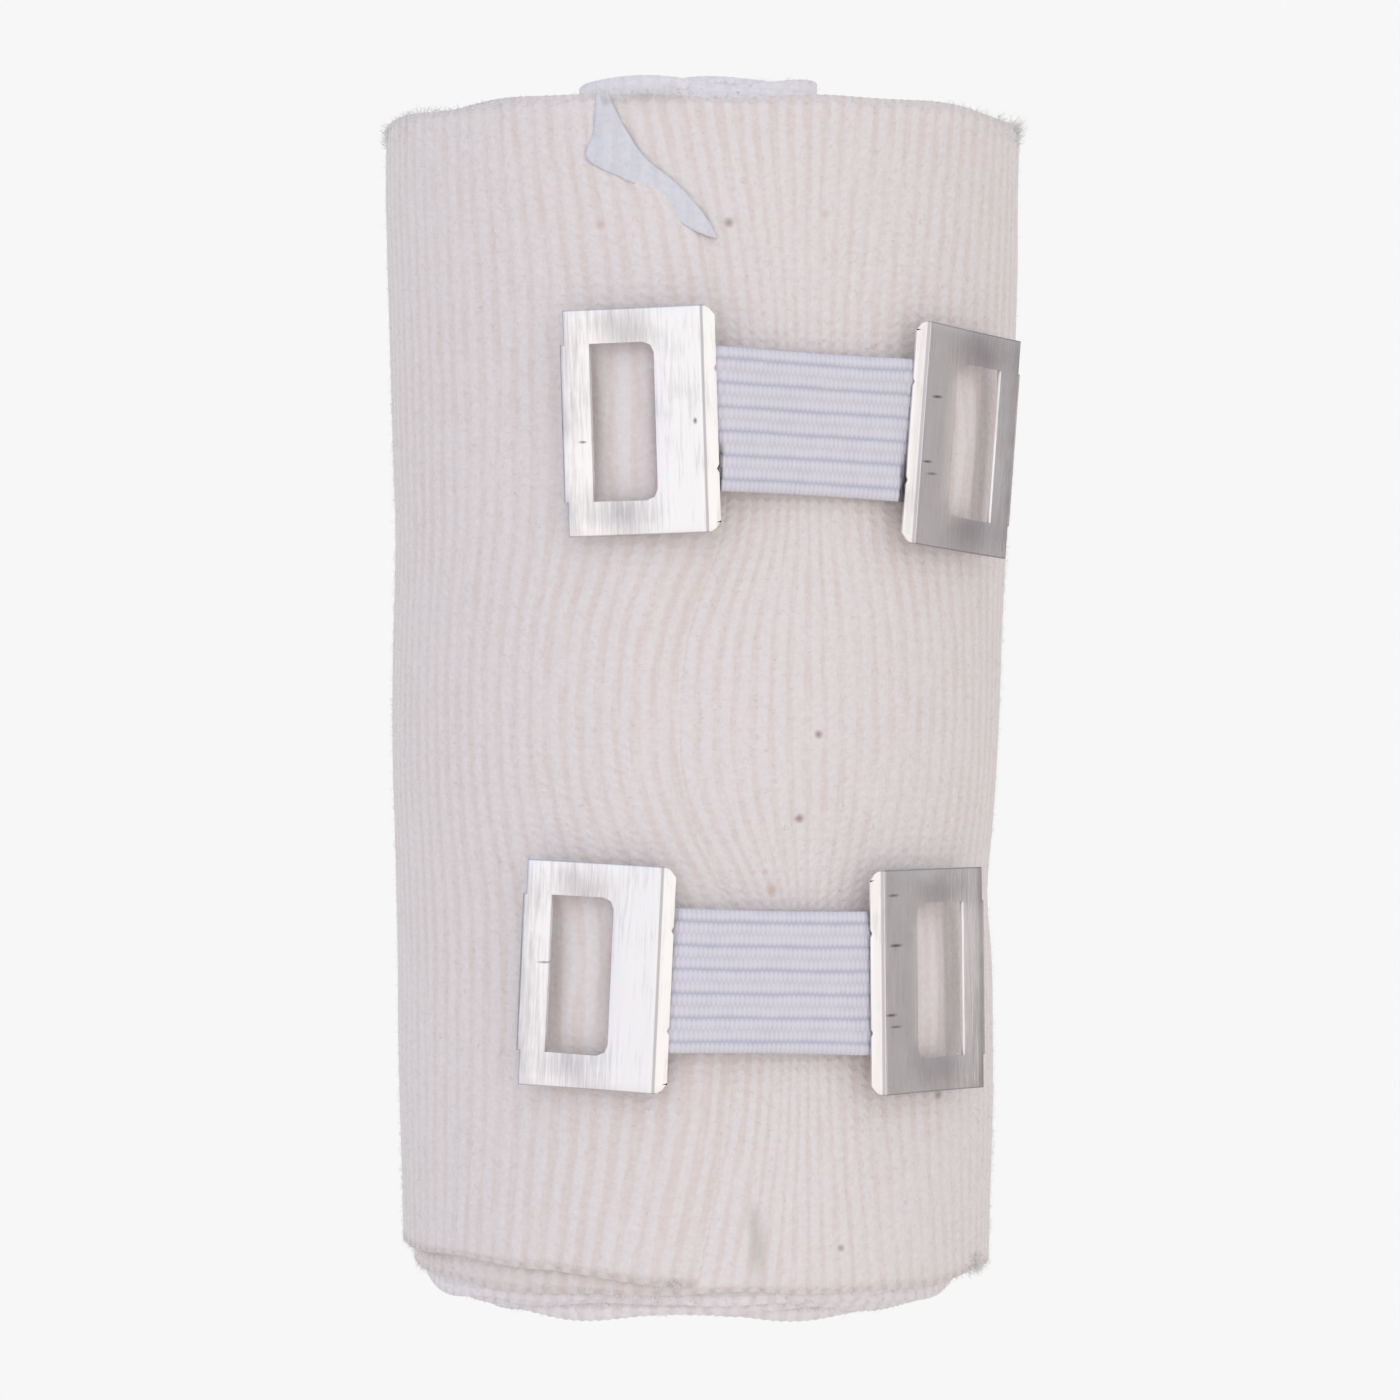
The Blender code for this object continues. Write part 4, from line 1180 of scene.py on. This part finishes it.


# %% [markdown]
# The plates are thin aluminium, brushed along their long side. Brushing leaves fine parallel
# scratches that blur a reflection, so the grain is a noise stretched along each plate's own UV
# map, which varies the colour, the roughness and the surface. The metal is greyer beside the two
# ends of the window, and the outer bar is painted darker, as painted shade in its reflection.

# %% Brushed aluminium
def brushed():
    material, tree, shader = new_material("brushed_aluminium")
    uv = add_node(tree, "ShaderNodeUVMap")
    coords = add_node(tree, "ShaderNodeTexCoord")
    stretch = add_node(tree, "ShaderNodeMapping", [("Scale", (75.0, 4.5, 1.0))], [("Vector", uv.outputs[0])])
    grain = noise_node(tree, stretch.outputs[0], 1.0, 5.0, 0.65)
    patches = noise_node(tree, coords.outputs["Object"], 230.0, 3.0)
    centred = add_node(
        tree, "ShaderNodeVectorMath", [("operation", "SUBTRACT"), (1, (0.5, 0.5, 0.0))],
        [(0, uv.outputs[0])],
    )
    sides = add_node(tree, "ShaderNodeSeparateXYZ", links=[(0, centred.outputs[0])])
    from_tape, from_middle = sides.outputs[0], math_node(tree, "ABSOLUTE", sides.outputs[1])
    # Greyer beside the two ends of the window
    across_gap = math_node(tree, "MULTIPLY_ADD", from_tape, 7.0, 0.5)
    along_gap = math_node(tree, "MULTIPLY_ADD", from_middle, 9.0, -3.6)
    apart = math_node(
        tree, "ADD", math_node(tree, "POWER", across_gap, 2.0), math_node(tree, "POWER", along_gap, 2.0)
    )
    window_end_darkening = math_node(tree, "EXPONENT", math_node(tree, "MULTIPLY", apart, -1.0))
    # The outer bar is painted darker: painted shade in its reflection
    outer_bar_painted_shade = add_node(
        tree, "ShaderNodeMapRange", [("From Min", -0.36), ("From Max", -0.2), ("To Min", 0.13), ("To Max", 0.0)],
        [("Value", from_tape)],
    )
    level = math_node(tree, "MULTIPLY_ADD", window_end_darkening, -0.17, math_node(tree, "MULTIPLY", grain, 0.40))
    level = math_node(tree, "SUBTRACT", level, outer_bar_painted_shade.outputs[0])
    level = math_node(tree, "MULTIPLY_ADD", patches, 0.25, level)
    colour = ramp_node(tree, level, (0.05, "#BDBBBE"), (0.20, "#E2DEDD"), (0.31, "#FCFAF8"))
    # Painted shade and reflection: a dark line in the lip's crease, and dark bluish lines along the cut edges of the
    # sheet
    crease_gap = math_node(tree, "SUBTRACT", from_tape, (LIP_START + 0.16 * MM) / PLATE_LENGTH)
    crease_gap = math_node(tree, "ABSOLUTE", crease_gap)
    end_gap = math_node(tree, "SUBTRACT", 0.5, from_middle)
    outer_gap = math_node(tree, "SUBTRACT", from_tape, (TAB_REACH - PLATE_WIDTH / 2) / PLATE_LENGTH)
    tab_gap = math_node(tree, "SUBTRACT", WINDOW_LENGTH / 2 / PLATE_LENGTH, from_middle)
    outer_gap = math_node(tree, "MAXIMUM", math_node(tree, "ABSOLUTE", outer_gap), tab_gap)
    for gap, width, code in (
        (crease_gap, 0.15 * MM, "#A3A2AA"), (end_gap, 0.13 * MM, "#8E93A6"), (outer_gap, 0.12 * MM, "#8C96BC"),
    ):
        near = add_node(
            tree, "ShaderNodeMapRange",
            [("From Min", width * 0.4 / PLATE_LENGTH), ("From Max", width / PLATE_LENGTH),
             ("To Min", 0.65), ("To Max", 0.0)],
            [("Value", gap)],
        )
        painted_line = add_node(
            tree, "ShaderNodeMix", [("data_type", "RGBA"), (7, linear(code))],
            [(0, near.outputs[0]), (6, colour)],
        )
        colour = painted_line.outputs[2]
    tree.links.new(add_spots(tree, coords, colour, SCRATCHES), shader.inputs["Base Color"])
    rough = add_node(
        tree, "ShaderNodeMapRange",
        [("From Min", 0.25), ("From Max", 0.75), ("To Min", 0.40), ("To Max", 0.24)],
        [("Value", grain)],
    )
    tree.links.new(rough.outputs[0], shader.inputs["Roughness"])
    bump = add_node(tree, "ShaderNodeBump", [("Strength", 0.6), ("Distance", 0.03 * MM)], [("Height", grain)])
    tree.links.new(bump.outputs[0], shader.inputs["Normal"])
    shader.inputs["Metallic"].default_value = 1.0
    return material


aluminium = brushed()
for piece in plates:
    piece.data.materials.append(aluminium)

# %% [markdown]
# The camera looks straight down from about a third of a metre over the roll. A pixel of the
# photograph is 0.083 mm on the face towards it, which gives the lens.

# %% Camera
PIXEL = 0.083 * MM
PHOTO = 1400
CAMERA_RISE = 335 * MM
SENSOR = 36.0
camera_data = bpy.data.cameras.new("overhead")
camera_data.sensor_width = SENSOR
camera_data.lens = SENSOR * CAMERA_RISE / (PIXEL * PHOTO)
camera_data.clip_start = 0.01
camera = bpy.data.objects.new("overhead", camera_data)
camera.location = Vector((0.0, -10 * PIXEL, ROLL_DEPTH + CAMERA_RISE)) + FRAME_SHIFT
bpy.context.scene.collection.objects.link(camera)
bpy.context.scene.camera = camera
print(f"lens {camera_data.lens:.1f} mm")

# %% [markdown]
# The photograph has an even white ground, so the floor gives off its own pale light and takes
# no shadow. A bright, even sky gives soft light: white overhead down to about twenty degrees
# over the horizon, where it falls off, which is what the steep right-hand plates reflect. It is
# a little bluer beyond the upper rim and warmer beyond the lower one.

# %% Floor and light
SKY_STRENGTH = 1.06
KEY_ENERGY = 0.68
floor_mesh = bmesh.new()
bmesh.ops.create_grid(floor_mesh, x_segments=1, y_segments=1, size=1.5)
floor_data = bpy.data.meshes.new("floor")
floor_mesh.to_mesh(floor_data)
floor_mesh.free()
floor = bpy.data.objects.new("floor", floor_data)
floor.location.z = -0.05 * MM
bpy.context.scene.collection.objects.link(floor)
floor_material, floor_tree, floor_shader = new_material("glowing_ground")
floor_shader.inputs["Base Color"].default_value = (0.0, 0.0, 0.0, 1.0)
floor_shader.inputs["Specular IOR Level"].default_value = 0.0
floor_shader.inputs["Emission Color"].default_value = linear("#F7F7F7")
floor_shader.inputs["Emission Strength"].default_value = 1.0
floor_data.materials.append(floor_material)
floor.visible_glossy = False

world = bpy.data.worlds.new("studio")
world.use_nodes = True
bpy.context.scene.world = world
sky = world.node_tree
direction = add_node(sky, "ShaderNodeTexCoord")
parts = add_node(sky, "ShaderNodeSeparateXYZ", links=[(0, direction.outputs["Generated"])])
height = math_node(sky, "MULTIPLY_ADD", parts.outputs[2], 0.5, 0.5)
glow = ramp_node(
    sky, height,
    (0.30, "#C9C5C3"), (0.44, "#A3A2A6"), (0.51, "#76787F"), (0.58, "#8E9097"), (0.66, "#FEFEFE"),
)
over_rims = math_node(sky, "MULTIPLY", math_node(sky, "POWER", parts.outputs[1], 2.0), 0.95)
glow = add_node(
    sky, "ShaderNodeMix", [("data_type", "RGBA"), (7, linear("#FFFFFF"))],
    [(0, over_rims), (6, glow)],
).outputs[2]
reach = math_node(sky, "MULTIPLY_ADD", parts.outputs[1], 0.5, 0.5)
ends = ramp_node(sky, reach, (0.0, "#E5DAD4"), (0.5, "#FFFFFF"), (1.0, "#E9F0FC"))
sides = ramp_node(sky, math_node(sky, "MULTIPLY_ADD", parts.outputs[0], 0.5, 0.5), (0.0, "#E7EAF7"), (0.45, "#FFFDFC"), (1.0, "#FCF7F5"))
tint = add_node(
    sky, "ShaderNodeMix", [("data_type", "RGBA"), ("blend_type", "MULTIPLY"), (0, 1.0)],
    [(6, ends), (7, sides)],
)
mixed = add_node(
    sky, "ShaderNodeMix", [("data_type", "RGBA"), ("blend_type", "MULTIPLY"), (0, 1.0)],
    [(6, glow), (7, tint.outputs[2])],
)
sky.links.new(mixed.outputs[2], sky.nodes["Background"].inputs[0])
sky.nodes["Background"].inputs[1].default_value = SKY_STRENGTH

key_data = bpy.data.lights.new("overhead_softbox", "AREA")
key_data.shape = "SQUARE"
key_data.size = 0.9
key_data.energy = KEY_ENERGY
key = bpy.data.objects.new("overhead_softbox", key_data)
key.location = (-0.1, 0.15, 0.9)
key.rotation_euler = (Vector((0, 0, 0)) - key.location).to_track_quat("-Z", "Y").to_euler()
key.visible_glossy = False
bpy.context.scene.collection.objects.link(key)

bpy.context.scene.view_settings.view_transform = "Standard"
